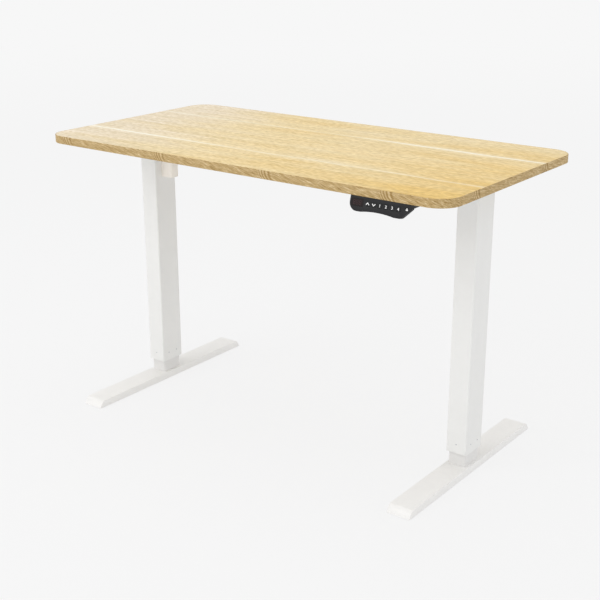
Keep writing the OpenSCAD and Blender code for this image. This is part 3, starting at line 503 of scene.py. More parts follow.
@dataclass(frozen=True)
class OakLaminate(Oak):
    """Printed oak laminate of the worktop, with pale sap lines that repeat across its width.

    The colour runs from chalky at the left end through golden in the middle to honey at the right
    front. This run is partly the print's own tone and partly painted sheen: the pale left end stands
    in for the reflection that a grazing view catches. A sap line comes once in each repeat across the
    board. It is brightest at line_middle, which moves on by line_shift from line to line, and falls
    to line_rest away from there.
    """

    rough: float = 0.5
    specular: float = 0.3
    relief: float = 0.18
    tone_gloss: float = 0.08
    dulling: float = 0.06
    patch_size: float = 0.22
    # Pale colour of the left end: partly the print's tone, partly painted sheen from a grazing view.
    chalk_and_sheen: Colour = shade(237, 220, 189)
    honey: Colour = shade(234, 196, 112)
    sap: Colour = shade(255, 252, 236)
    streak_low: Colour = (0.84, 0.81, 0.66, 1.0)
    streak_high: Colour = (1.09, 1.13, 1.32, 1.0)
    gold_left: float = -0.62
    gold_middle: float = -0.08
    gold_share: float = 0.58
    honey_start: float = 0.2
    honey_end: float = 0.62
    honey_share: float = 0.5
    honey_depth: float = 0.3
    drift_share: float = 0.9
    repeat: float = 0.29
    first_line: float = -0.15
    line_half_width: float = 5 * MM
    line_core: float = 0.45
    line_wander: float = 20 * MM
    halo_reach: float = 25 * MM
    halo_share: float = 0.25
    line_middle: float = -0.46
    line_shift: float = 0.86
    line_fade: float = 0.26
    line_rest: float = 0.42

    def sap_lines(self, tree: Tree, x: Any, y: Any) -> Socket:
        """Masks the pale lines, which fade out along the board at another place in each repeat.

        Args:
            tree: The material's tree.
            x: The place along the board.
            y: The place across the board.

        Returns:
            A mask from 0 to 1.
        """
        wander = tree.noise(tree.join(tree.times(x, 3.0), y))
        bent = tree.total(y, tree.times(tree.minus(wander, 0.5), self.line_wander))
        turn = tree.total(tree.over(tree.minus(bent, self.first_line), self.repeat), 0.5)
        number = tree.calc("FLOOR", turn)
        off = tree.times(tree.calc("ABSOLUTE", tree.minus(tree.minus(turn, number), 0.5)), self.repeat)
        line = tree.remap(off, self.line_core * self.line_half_width, self.line_half_width, 1.0, 0.0,
                          smooth=True)
        halo = tree.remap(off, 0.0, self.halo_reach, self.halo_share, 0.0, smooth=True)
        middle = tree.calc("MULTIPLY_ADD", number, self.line_shift, self.line_middle)
        reach = tree.over(tree.minus(x, middle), self.line_fade)
        fall = tree.calc("POWER", tree.calc("ABSOLUTE", reach), 3.0)
        peak = tree.calc("POWER", math.e, tree.times(fall, -1.0))
        strength = tree.remap(peak, 0.0, 1.0, self.line_rest, 1.0)
        breaks = tree.noise(tree.join(tree.times(x, 9.0), tree.times(y, 60.0)))
        broken = tree.remap(breaks, 0.25, 0.55, 0.6, 1.0)
        return tree.times(tree.times(tree.calc("MAXIMUM", line, halo), strength), broken)

    def depth(self, tree: Tree, x: Any, y: Any) -> Socket:
        """Gives how golden the top is; its pale left end is partly painted sheen.

        Args:
            tree: The material's tree.
            x: The place along the board.
            y: The place across the board.

        Returns:
            A value that is 0 at the pale left end of chalky print and painted sheen, 0.5 at the main colour
            and 1 at honey.
        """
        drift = tree.noise(tree.join(tree.times(x, 2.2), tree.times(y, 13.0), 3.0), rough=0.55)
        # Painted sheen in part: the pale left end fades to gold, and the right front turns honey.
        gold_past_sheen = tree.remap(x, self.gold_left, self.gold_middle, 0.0, self.gold_share, smooth=True)
        end = tree.remap(x, self.honey_start, self.honey_end, smooth=True)
        front = tree.remap(y, -self.honey_depth, self.honey_depth, self.honey_share, 0.0)
        return tree.total(gold_past_sheen, tree.times(end, front),
                          tree.times(tree.minus(drift, 0.52), self.drift_share))

    def surface(self, tree: Tree) -> dict[str, Any]:
        """Gives the worktop's surface.

        Args:
            tree: The material's tree.

        Returns:
            The values and sockets for the shader's inputs, by name.
        """
        place = tree.coordinates()
        x, y, _ = tree.split(place)
        grain = self.grain(tree, place)
        # The pale end of this ramp is partly painted sheen, a reflection drawn into the colour.
        colour = tree.ramp(self.depth(tree, x, y), [(0.0, self.chalk_and_sheen), (0.5, self.colour), (1.0, self.honey)])
        colour = self.tint(tree, colour, grain["Tone"], self.streak_low, self.streak_high)
        colour = self.tint(tree, colour, grain["Flecks"], self.fleck_low, self.fleck_high)
        colour = tree.mix(tree.times(grain["Pores"], self.pore_share), colour, self.honey)
        colour = tree.mix(self.sap_lines(tree, x, y), colour, self.sap)
        return {"Base Color": colour,
                "Roughness": self.roughness(tree, grain["Tone"], self.smudges(tree, place)),
                "Normal": self.raised(tree, grain["Height"])}


@dataclass(frozen=True)
class OakBand(Oak):
    """Printed oak edge band. Its map holds the way round the top in U and the height in V.

    The fibres fall gently along the band, and plunge once in each repeat of the print, where
    the growth rings show as nested dark arcs.
    """

    rough: float = 0.51
    specular: float = 0.15
    relief: float = 0.3
    tone_gloss: float = 0.1
    fibre_length: float = 34 * MM
    fibre_width: float = 1.4 * MM
    wander: float = 0.0
    fleck_length: float = 12 * MM
    fleck_width: float = 2.5 * MM
    fleck_low: Colour = (0.91, 0.9, 0.88, 1.0)
    fleck_high: Colour = (1.1, 1.11, 1.13, 1.0)
    pore_share: float = 0.3
    light: Colour = shade(230, 208, 166)
    dark: Colour = shade(142, 108, 50)
    repeat: float = 0.325
    first_tip: float = 0.196
    tip_reach: float = 24 * MM
    tip_height: float = 20 * MM
    hook: float = 26.0
    widening: float = 14.0
    fall: float = 0.24
    sway: float = 6 * MM
    ring_pitch: float = 8.8 * MM
    ring_share: float = 0.65
    gap_share: float = 0.35

    def rings(self, tree: Tree, along: Any, up: Any, wave: Any) -> tuple[Socket, Socket]:
        """Draws the nested arcs of the growth rings, once in each repeat of the print.

        Args:
            tree: The material's tree.
            along: The way round the top.
            up: The height on the band.
            wave: Soft sideways sway of the arcs.

        Returns:
            The dark arcs, and the pale gaps between them, both from 0 to 1.
        """
        turn = tree.over(tree.minus(along, self.first_tip), self.repeat)
        off = tree.times(tree.minus(tree.calc("FRACT", tree.total(turn, 0.5)), 0.5), self.repeat)
        below = tree.minus(self.tip_height, up)
        bend = tree.times(tree.times(below, below), self.hook)
        place = tree.total(tree.minus(off, bend), wave)
        phase = tree.minus(place, tree.times(tree.times(place, place), self.widening))
        swing = tree.calc("SINE", tree.times(phase, 2 * math.pi / self.ring_pitch))
        mask = tree.remap(tree.calc("ABSOLUTE", off), 0.5 * self.tip_reach, self.tip_reach, 1.0, 0.0,
                          smooth=True)
        return (tree.times(tree.remap(swing, 0.0, 0.8), mask),
                tree.times(tree.remap(swing, -0.2, -0.9), mask))

    def surface(self, tree: Tree) -> dict[str, Any]:
        """Gives the band's surface.

        Args:
            tree: The material's tree.

        Returns:
            The values and sockets for the shader's inputs, by name.
        """
        along, up, _ = tree.split(tree.add("UVMap", uv_map="round").outputs[0])
        wave = tree.times(tree.noise(tree.join(tree.times(along, 30.0), tree.times(up, 60.0))), self.sway)
        across = tree.total(up, tree.times(along, self.fall), wave)
        grain = self.grain(tree, tree.join(along, across))
        rings, gaps = self.rings(tree, along, up, wave)
        colour = tree.ramp(grain["Tone"], [(0.03, self.dark), (0.45, self.colour), (0.55, self.colour),
                                           (0.97, self.light)])
        colour = self.tint(tree, colour, grain["Flecks"], self.fleck_low, self.fleck_high)
        for mask, share, ink in ((gaps, self.gap_share, self.light), (rings, self.ring_share, self.dark),
                                 (grain["Pores"], self.pore_share, self.dark)):
            colour = tree.mix(tree.times(mask, share), colour, ink)
        gloss = tree.total(tree.times(grain["Tone"], self.tone_gloss), self.rough - self.tone_gloss / 2)
        return {"Base Color": colour, "Roughness": gloss, "Normal": self.raised(tree, grain["Height"])}


@dataclass(frozen=True)
class BackingSheet(Oak):
    """Plain pale foil on the underside of the board, with a faint grain."""

    rough: float = 0.55
    relief: float = 0.15
    relief_height: float = 0.1 * MM
    dulling: float = 0.1
    patch_size: float = 0.15
    fibre_length: float = 0.2
    fibre_width: float = 5 * MM
    wander: float = 12 * MM

    def surface(self, tree: Tree) -> dict[str, Any]:
        """Gives the underside's surface.

        Args:
            tree: The material's tree.

        Returns:
            The values and sockets for the shader's inputs, by name.
        """
        place = tree.coordinates()
        grain = self.grain(tree, place)
        smudge = self.smudges(tree, place)
        colour = tree.ramp(grain["Tone"], [(0.35, self.tinted(0.86)), (0.65, self.tinted(1.06))])
        return {"Base Color": tree.mix(tree.times(smudge, 0.25), colour, self.tinted(0.8)),
                "Roughness": tree.total(tree.times(smudge, self.dulling), self.rough),
                "Normal": self.raised(tree, grain["Height"])}


@dataclass(frozen=True)
class Coating(Finish):
    """Paint, moulded plastic or rubber: a skin with fine grain and dull patches of handling."""

    tone_range: float = 0.03

    def surface(self, tree: Tree) -> dict[str, Any]:
        """Gives the skin's surface.

        Args:
            tree: The material's tree.

        Returns:
            The values and sockets for the shader's inputs, by name.
        """
        place = tree.coordinates()
        grain = self.fine_grain(tree, place)
        smudge = self.smudges(tree, place)
        low, high = self.tinted(1 - self.tone_range), self.tinted(1 + self.tone_range)
        colour = tree.ramp(grain["Tone"], [(0.35, low), (0.65, high)])
        return {"Base Color": tree.mix(tree.times(smudge, 0.5), colour, low),
                "Roughness": self.roughness(tree, grain["Tone"], smudge),
                "Normal": self.raised(tree, grain["Height"])}


@dataclass(frozen=True)
class BareMetal(Finish):
    """Bare or plated metal with the marks of how it was made."""

    rough: float = 0.34
    relief: float = 0.15
    relief_height: float = 0.03 * MM
    tone_gloss: float = 0.08
    dulling: float = 0.14
    patch_size: float = 0.03
    mark_length: float = 20 * MM
    mark_width: float = 0.25 * MM
    grain_size: float = 0.8 * MM
    swell_size: float = 12 * MM
    tone_range: float = 0.08

    def surface(self, tree: Tree) -> dict[str, Any]:
        """Gives the metal's surface.

        Args:
            tree: The material's tree.

        Returns:
            The values and sockets for the shader's inputs, by name.
        """
        place = tree.coordinates()
        marks = EFFECTS.place(tree, "tool_marks", {
            "Vector": place, "Mark Length": self.mark_length, "Mark Width": self.mark_width})
        grain = self.fine_grain(tree, place)
        colour = tree.ramp(tree.weigh(marks["Tone"], grain["Tone"], 0.5),
                           [(0.3, self.tinted(1 - self.tone_range)), (0.7, self.tinted(1 + self.tone_range))])
        return {"Metallic": 1.0, "Base Color": colour,
                "Roughness": self.roughness(tree, marks["Tone"], self.smudges(tree, place)),
                "Normal": self.raised(tree, tree.weigh(marks["Height"], grain["Height"], 0.5))}


@dataclass(frozen=True)
class SmokedLens(Finish):
    """Dark glossy window over the unlit display, with a fine haze of dust."""

    rough: float = 0.19
    specular: float = 0.26
    tone_gloss: float = 0.1
    coat: float = 0.08
    coat_rough: float = 0.06
    grain_size: float = 0.25 * MM
    swell_size: float = 9 * MM
    haze: Colour = shade(60, 44, 44)
    haze_share: float = 0.2

    def surface(self, tree: Tree) -> dict[str, Any]:
        """Gives the window's surface.

        Args:
            tree: The material's tree.

        Returns:
            The values and sockets for the shader's inputs, by name.
        """
        dust = self.fine_grain(tree, tree.coordinates())
        specks = tree.remap(dust["Height"], 0.6, 0.72, 0.0, self.haze_share)
        return {"Base Color": tree.mix(specks, self.colour, self.haze),
                "Coat Weight": self.coat, "Coat Roughness": self.coat_rough,
                "Roughness": tree.remap(dust["Tone"], 0.3, 0.7, self.rough - self.tone_gloss / 2,
                                        self.rough + self.tone_gloss / 2)}


@dataclass(frozen=True)
class CircuitBoard(Finish):
    """Green solder mask with the lines of copper tracks under it."""

    rough: float = 0.34
    relief: float = 0.3
    relief_height: float = 0.04 * MM
    pad_rough: float = 0.24
    tracks_per_metre: float = 260.0
    track: Colour = shade(62, 128, 84)
    pad: Colour = shade(188, 176, 130)

    def surface(self, tree: Tree) -> dict[str, Any]:
        """Gives the board's surface.

        Args:
            tree: The material's tree.

        Returns:
            The values and sockets for the shader's inputs, by name.
        """
        x, y, z = tree.split(tree.coordinates())
        sockets = {"Vector": tree.join(x, tree.total(y, z)), "Scale": self.tracks_per_metre}
        cells = tree.add("TexVoronoi", sockets, distance="MANHATTAN").outputs[0]
        lines = tree.remap(cells, 0.5, 0.56)
        pads = tree.remap(cells, 0.14, 0.1)
        colour = tree.mix(lines, self.colour, self.track)
        return {"Base Color": tree.mix(pads, colour, self.pad),
                "Roughness": tree.remap(pads, 0.0, 1.0, self.rough, self.pad_rough),
                "Normal": self.raised(tree, lines)}


def make_palette() -> Palette:
    """Makes the material of each slot of the record.

    Returns:
        The materials by slot.
    """
    finishes: dict[Slot, Finish] = {
        Slot.WOOD_TOP: OakLaminate("oak_laminate", shade(238, 214, 160)),
        Slot.EDGE_WOOD: OakBand("oak_band", shade(190, 163, 114)),
        Slot.WHITE_PAINT: Coating("white_powder_coat", shade(239, 239, 237), tone_range=0.008, dulling=0.05),
        # The inner columns' paint is darker partly as painted shade, for the shadow of the outer column's
        # rim.
        Slot.WHITE_PAINT_INNER: Coating("white_powder_coat_inner_shaded", shade(232, 231, 229), rough=0.36,
                                        tone_range=0.01, dulling=0.05),
        Slot.WHITE_PLASTIC: Coating("white_moulding", shade(252, 246, 237), rough=0.48, tone_range=0.01,
                                    grain_size=0.5 * MM, relief=0.2, relief_height=0.03 * MM),
        Slot.STEEL: BareMetal("zinc_plate", shade(196, 198, 202)),
        Slot.BEARING_STEEL: BareMetal("ground_steel", shade(186, 188, 192), rough=0.24, mark_length=60 * MM),
        Slot.DIE_CAST: BareMetal("die_casting", shade(178, 180, 183), rough=0.5, grain_size=1.4 * MM,
                                 relief=0.4, mark_width=2 * MM),
        Slot.BRONZE: BareMetal("bronze", shade(201, 158, 92), rough=0.3, mark_length=4 * MM),
        Slot.GLIDE_PLASTIC: Coating("glide_nylon", shade(62, 62, 65), rough=0.5, grain_size=0.6 * MM),
        Slot.RUBBER: Coating("foot_rubber", shade(52, 52, 53), rough=0.78, grain_size=0.7 * MM,
                             relief=0.4, tone_range=0.12),
        Slot.BLACK_PLASTIC: Coating("black_moulding", shade(28, 28, 30), rough=0.46, grain_size=0.35 * MM,
                                    relief=0.3, relief_height=0.03 * MM, tone_range=0.1, specular=0.3),
        Slot.KEY_PLASTIC: Coating("key_moulding", shade(27, 27, 29), rough=0.5, grain_size=0.3 * MM,
                                  relief=0.25, relief_height=0.02 * MM, tone_range=0.08, specular=0.3),
        Slot.LENS: SmokedLens("smoked_window", shade(24, 12, 13)),
        Slot.BOARD_GREEN: CircuitBoard("circuit_board", shade(24, 88, 52)),
        Slot.MOTOR_STEEL: Coating("motor_enamel", shade(74, 75, 79), rough=0.4, tone_range=0.1),
    }
    return {slot: finish.material() for slot, finish in finishes.items()}


# ---------------------------------------------------------------- meshes


def rounded_ring(width: float, depth: float, radius: float, z: float, steps: int = 24) -> Ring:
    """Gives a rectangle with rounded corners, anticlockwise from its front left corner.

    Args:
        width: Its size along X.
        depth: Its size along Y.
        radius: The radius of its corners.
        z: Its height.
        steps: The number of chords in each corner.

    Returns:
        The points, each corner with one more point than steps.
    """
    ring = []
    for number, (sx, sy) in enumerate(((-1, -1), (1, -1), (1, 1), (-1, 1))):
        centre = Vector((sx * (width / 2 - radius), sy * (depth / 2 - radius), z))
        for step in range(steps + 1):
            angle = math.pi + (number + step / steps) * math.pi / 2
            ring.append(centre + radius * Vector((math.cos(angle), math.sin(angle), 0.0)))
    return ring


def skin(shape: Shape, rings: Sequence[Ring], wrap: bool = False) -> list[list[bmesh.types.BMVert]]:
    """Adds the faces between rings of equally many points.

    Args:
        shape: The mesh that gets the faces.
        rings: The rings, in order.
        wrap: True to join the last ring to the first.

    Returns:
        The vertices of each ring.
    """
    rows = [[shape.verts.new(point) for point in ring] for ring in rings]
    pairs = list(zip(rows, rows[1:])) + ([(rows[-1], rows[0])] if wrap else [])
    for low, high in pairs:
        for i, _ in enumerate(low):
            j = (i + 1) % len(low)
            shape.faces.new((low[i], low[j], high[j], high[i]))
    return rows


def prism(shape: Shape, outline: Outline, low: float, high: float) -> None:
    """Adds an upright prism.

    Args:
        shape: The mesh that gets it.
        outline: The X and Y of its corners, in order.
        low: The height of its lower face.
        high: The height of its upper face.
    """
    for row in skin(shape, [[Vector((x, y, z)) for x, y in outline] for z in (low, high)]):
        shape.faces.new(row)


def stroke(points: Outline, width: float) -> Outline:
    """Gives the outline of an open line of some width, with mitred corners and square ends.

    Args:
        points: The corners of the line.
        width: Its width.

    Returns:
        The corners of its outline.
    """
    line = [Vector(p) for p in points]
    left, right = [], []
    for i, point in enumerate(line):
        before = (point - line[i - 1]).normalized() if i else (line[1] - point).normalized()
        after = (line[i + 1] - point).normalized() if i + 1 < len(line) else before
        side = Vector((-(before + after).y, (before + after).x)).normalized()
        reach = width / 2 / max(MITRE_LIMIT, side.dot(Vector((-before.y, before.x))))
        left.append(tuple(point + side * reach))
        right.append(tuple(point - side * reach))
    return left + right[::-1]


def new_object(name: str, data: bpy.types.ID) -> Piece:
    """Puts a new object in the scene.

    Args:
        name: The object's name.
        data: The mesh, text, camera or lamp that it shows.

    Returns:
        The new object.
    """
    made = bpy.data.objects.new(name, data)
    bpy.context.scene.collection.objects.link(made)
    return made


def finish_mesh(name: str, shape: Shape, smooth_angle: float = 35.0) -> Piece:
    """Makes an object of a mesh, smooth except at its sharp edges.

    Args:
        name: The object's name.
        shape: The mesh, which is used up.
        smooth_angle: The largest angle in degrees that is shaded smooth.

    Returns:
        The new object, in the scene.
    """
    bmesh.ops.recalc_face_normals(shape, faces=shape.faces)
    limit = math.radians(smooth_angle)
    for face in shape.faces:
        face.smooth = True
    shape.normal_update()
    for edge in shape.edges:
        edge.smooth = len(edge.link_faces) == 2 and edge.calc_face_angle(0.0) <= limit
    mesh = bpy.data.meshes.new(name)
    shape.to_mesh(mesh)
    shape.free()
    return new_object(name, mesh)


# ---------------------------------------------------------------- pieces that follow the frame


def middle_of(node: str) -> Vector:
    """Gives the middle of a CAD node's box."""
    low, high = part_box(node)
    return (low + high) / 2


def body_of(node: str) -> str:
    """Gives the body that a CAD node belongs to."""
    return frame["nodes"][node]["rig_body"]


def welded(node: str, distance: float) -> Shape:
    """Gives a copy of a CAD node's mesh, with the points that are closer than a distance joined.

    Args:
        node: The CAD node.
        distance: The distance.

    Returns:
        The copy.
    """
    shape = bmesh.new()
    shape.from_mesh(frame["nodes"][node].data)
    bmesh.ops.remove_doubles(shape, verts=shape.verts, dist=distance)
    return shape


def islands(node: str) -> list[tuple[Vector, Vector]]:
    """Measures the separate solids in a CAD node.

    Args:
        node: The CAD node.

    Returns:
        The lowest and highest corner of each solid.
    """
    shape = welded(node, 0.001 * MM)
    seen: set[bmesh.types.BMVert] = set()
    found = []
    for start in shape.verts:
        if start in seen:
            continue
        stack, members = [start], []
        seen.add(start)
        while stack:
            vert = stack.pop()
            members.append(vert.co.copy())
            for edge in vert.link_edges:
                other = edge.other_vert(vert)
                if other not in seen:
                    seen.add(other)
                    stack.append(other)
        found.append((Vector(map(min, *members)), Vector(map(max, *members))))
    shape.free()
    return found


def eased(name: str, node: str, width: float, steps: int = 2, angle: float = SHARP_ANGLE,
          pick: Callable[[bmesh.types.BMEdge], bool] | None = None) -> Piece:
    """Builds a CAD node again with its sharp edges rounded.

    Args:
        name: The new piece's name.
        node: The CAD node that it follows.
        width: The width of the rounding.
        steps: The number of facets across the rounding.
        angle: The smallest angle in degrees of an edge that is rounded.
        pick: Says which of the sharp edges are rounded. All of them without it.

    Returns:
        The new piece, which still has to be put on its body.
    """
    shape = welded(node, 0.002 * MM)
    bmesh.ops.dissolve_limit(shape, angle_limit=math.radians(FLAT_ANGLE), verts=shape.verts,
                             edges=shape.edges)
    limit = math.radians(angle)
    sharp = [e for e in shape.edges if len(e.link_faces) == 2 and e.calc_face_angle(0.0) > limit]
    chosen = [e for e in sharp if pick is None or pick(e)]
    bmesh.ops.bevel(shape, geom=chosen, offset=width, offset_type="OFFSET", segments=steps, profile=0.5,
                    affect="EDGES", clamp_overlap=pick is None)
    return finish_mesh(name, shape, SHARP_ANGLE)


def put(piece: Piece, body: str, slot: Slot | None, materials: Sequence[bpy.types.Material],
        *nodes: str) -> None:
    """Dresses a piece, puts it on its body and hides the CAD nodes that it stands for.

    Args:
        piece: The piece.
        body: The body that it moves with.
        slot: Not used; the record's slot, or None for a finish that the record doesn't have.
        materials: Its materials, in the order of the numbers on its faces.
        *nodes: The CAD nodes that it replaces.
    """
    for material in materials:
        piece.data.materials.append(material)
    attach(piece, body)
    if nodes:
        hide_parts(*nodes)
    LOG.info("%s rides on %s with %d faces", piece.name, body, len(piece.data.polygons))


@dataclass
class Assembly:
    """Pieces that belong together and are dressed from one palette."""

    palette: Palette

    def soften(self, node: str, ending: str, slot: Slot, width: float,
               paint: bpy.types.Material | None = None, **rounding: Any) -> None:
        """Builds a CAD node again with softened edges, in its finish and on its body.

        Args:
            node: The CAD node that it follows.
            ending: What the piece's name adds to the node's.
            slot: Its slot in the record.
            width: The width of the rounding.
            paint: Its material, where it isn't the palette's.
            **rounding: Further arguments of eased.
        """
        piece = eased(f"{node}_{ending}", node, width, **rounding)
        put(piece, body_of(node), slot, [paint or self.palette[slot]], node)

    def build(self) -> None:
        """Builds and dresses every piece."""
        raise NotImplementedError(type(self).__name__)


# ---------------------------------------------------------------- the top


@dataclass
class Worktop(Assembly):
    """The laminated board and the band round its edge."""

    corner_radius: float = 55 * MM
    band_round: float = 1.0 * MM
    band_facets: int = 5
    joint: float = 0.12 * MM
    corner_print: float = 2.0
    smooth_angle: float = 30.0
    underside: BackingSheet = field(
        default_factory=lambda: BackingSheet("backing_foil", shade(214, 202, 178)))

    def ring(self, inset: float, z: float) -> Ring:
        """Gives the outline of the top at a height.

        Args:
            inset: How far it lies inside the top's outer face.
            z: The height.

        Returns:
            The outline.
        """
        low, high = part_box("edge_band")
        size = high - low
        return rounded_ring(size.x - 2 * inset, size.y - 2 * inset, self.corner_radius - inset, z)

    def band_width(self) -> float:
        """Gives the thickness of the band."""
        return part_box("tabletop")[0].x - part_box("edge_band")[0].x

    def board(self) -> None:
        """Builds the board: laminate above, backing foil below, hairline joint at the band."""
        low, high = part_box("tabletop")
        inset = self.band_width()
        shape = bmesh.new()
        heights = [(inset + self.joint, low.z), (inset, low.z + self.joint), (inset, high.z - self.joint),
                   (inset + self.joint, high.z)]
        rows = skin(shape, [self.ring(off, z) for off, z in heights])
        shape.faces.new(rows[0]).material_index = 1
        shape.faces.new(rows[-1])
        board = finish_mesh("worktop_board", shape, self.smooth_angle)
        put(board, "upper", Slot.WOOD_TOP, [self.palette[Slot.WOOD_TOP], self.underside.material()],
            "tabletop")

    def section(self, low: float, high: float) -> Outline:
        """Gives the band's section, rounded at its two outer edges.

        Args:
            low: The height of its underside.
            high: The height of its upper side.

        Returns:
            The distance inside the top's outer face and the height of each corner, in order.
        """
        r = self.band_round
        turn = [math.radians(90 / self.band_facets * step) for step in range(self.band_facets + 1)]
        lower = [(r * (1 - math.sin(a)), low + r * (1 - math.cos(a))) for a in turn]
        upper = [(r * (1 - math.cos(a)), high - r * (1 - math.sin(a))) for a in turn]
        inner = self.band_width()
        return [(inner, low), *lower, *upper, (inner, high)]

    def print_places(self, edge: Ring) -> list[float]:
        """Measures the way round the top, with the chords of the corners drawn out.

        Args:
            edge: The outline of the top.

        Returns:
            The way to each point of the outline, and the whole way round at the end.
        """
        places = [0.0]
        for first, second in zip(edge, edge[1:] + edge[:1]):
            run = (second - first).length
            places.append(places[-1] + (run * self.corner_print if run < self.corner_radius else run))
        return places

    def band(self) -> None:
        """Builds the band, with its length round the top and its height kept in a map."""
        low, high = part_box("edge_band")
        edge = self.ring(0.0, low.z)
        places = self.print_places(edge)
        shape = bmesh.new()
        rows = skin(shape, [self.ring(inset, z) for inset, z in self.section(low.z, high.z)], wrap=True)
        numbers = {vert: number for row in rows for number, vert in enumerate(row)}
        uv = shape.loops.layers.uv.new("round")
        for face in shape.faces:
            closing = {0, len(edge) - 1} <= {numbers[loop.vert] for loop in face.loops}
            for loop in face.loops:
                number = numbers[loop.vert]
                along = places[-1] if closing and number == 0 else places[number]
                loop[uv].uv = (along, loop.vert.co.z - low.z)
        band = finish_mesh("worktop_band", shape, self.smooth_angle)
        put(band, "upper", Slot.EDGE_WOOD, [self.palette[Slot.EDGE_WOOD]], "edge_band")

    def build(self) -> None:
        """Builds the whole top."""
        self.board()
        self.band()


# ---------------------------------------------------------------- steel work and covers


@dataclass
class Underframe(Assembly):
    """Feet, brackets and rails, with the soft edges that bent sheet and tube have."""

    foot_edge: float = 1.8 * MM
    foot_facets: int = 4
    foot_angle: float = 25.0
    foot_rim: float = 1.5 * MM
    # The feet have a brighter copy of the white paint: painted light, for the stronger light on the feet.
    lit_foot_paint: Coating = field(default_factory=lambda: Coating(
        "white_powder_coat_feet_lit", shade(246, 245, 243), tone_range=0.008, dulling=0.05))
    sheet_edge: float = 0.45 * MM

    def foot(self, side: Side, paint: bpy.types.Material) -> None:
        """Builds a pressed foot with rounded long edges.

        Args:
            side: The leg that it belongs to.
            paint: The paint of the feet, a brighter copy of the white paint as painted light.
        """
        node = f"{side.value}_foot"
        low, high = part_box(node)

        def outer_edge(edge: bmesh.types.BMEdge) -> bool:
            """Says whether an edge runs along the foot's outer side, above its rim."""
            outside = all(min(abs(v.co.x - low.x), abs(v.co.x - high.x)) < 0.01 * MM for v in edge.verts)
            return outside and max(v.co.z for v in edge.verts) > low.z + self.foot_rim

        self.soften(node, "shell", Slot.WHITE_PAINT, self.foot_edge, paint, steps=self.foot_facets,
                    angle=self.foot_angle, pick=outer_edge)

    def build(self) -> None:
        """Builds the feet, brackets and rails."""
        paint = self.lit_foot_paint.material()
        for side in Side:
            self.foot(side, paint)
            self.soften(f"{side.value}_side_bracket", "steel", Slot.WHITE_PAINT, self.sheet_edge)
        for node in ("front_rail", "rear_rail"):
            self.soften(node, "steel", Slot.WHITE_PAINT, self.sheet_edge)


@dataclass
class Housings(Assembly):
    """Moulded covers of the motor and the control box."""

    edge: float = 0.5 * MM

    def build(self) -> None:
        """Builds the covers."""
        self.soften("motor_cover", "moulding", Slot.WHITE_PLASTIC, self.edge)
        for node in ("control_box_cover", "control_box_lid"):
            self.soften(node, "moulding", Slot.BLACK_PLASTIC, self.edge)


# ---------------------------------------------------------------- fasteners


class Drive(Enum):
    """Recess in a screw's head."""

    HEX = "hex"
    CROSS = "cross"


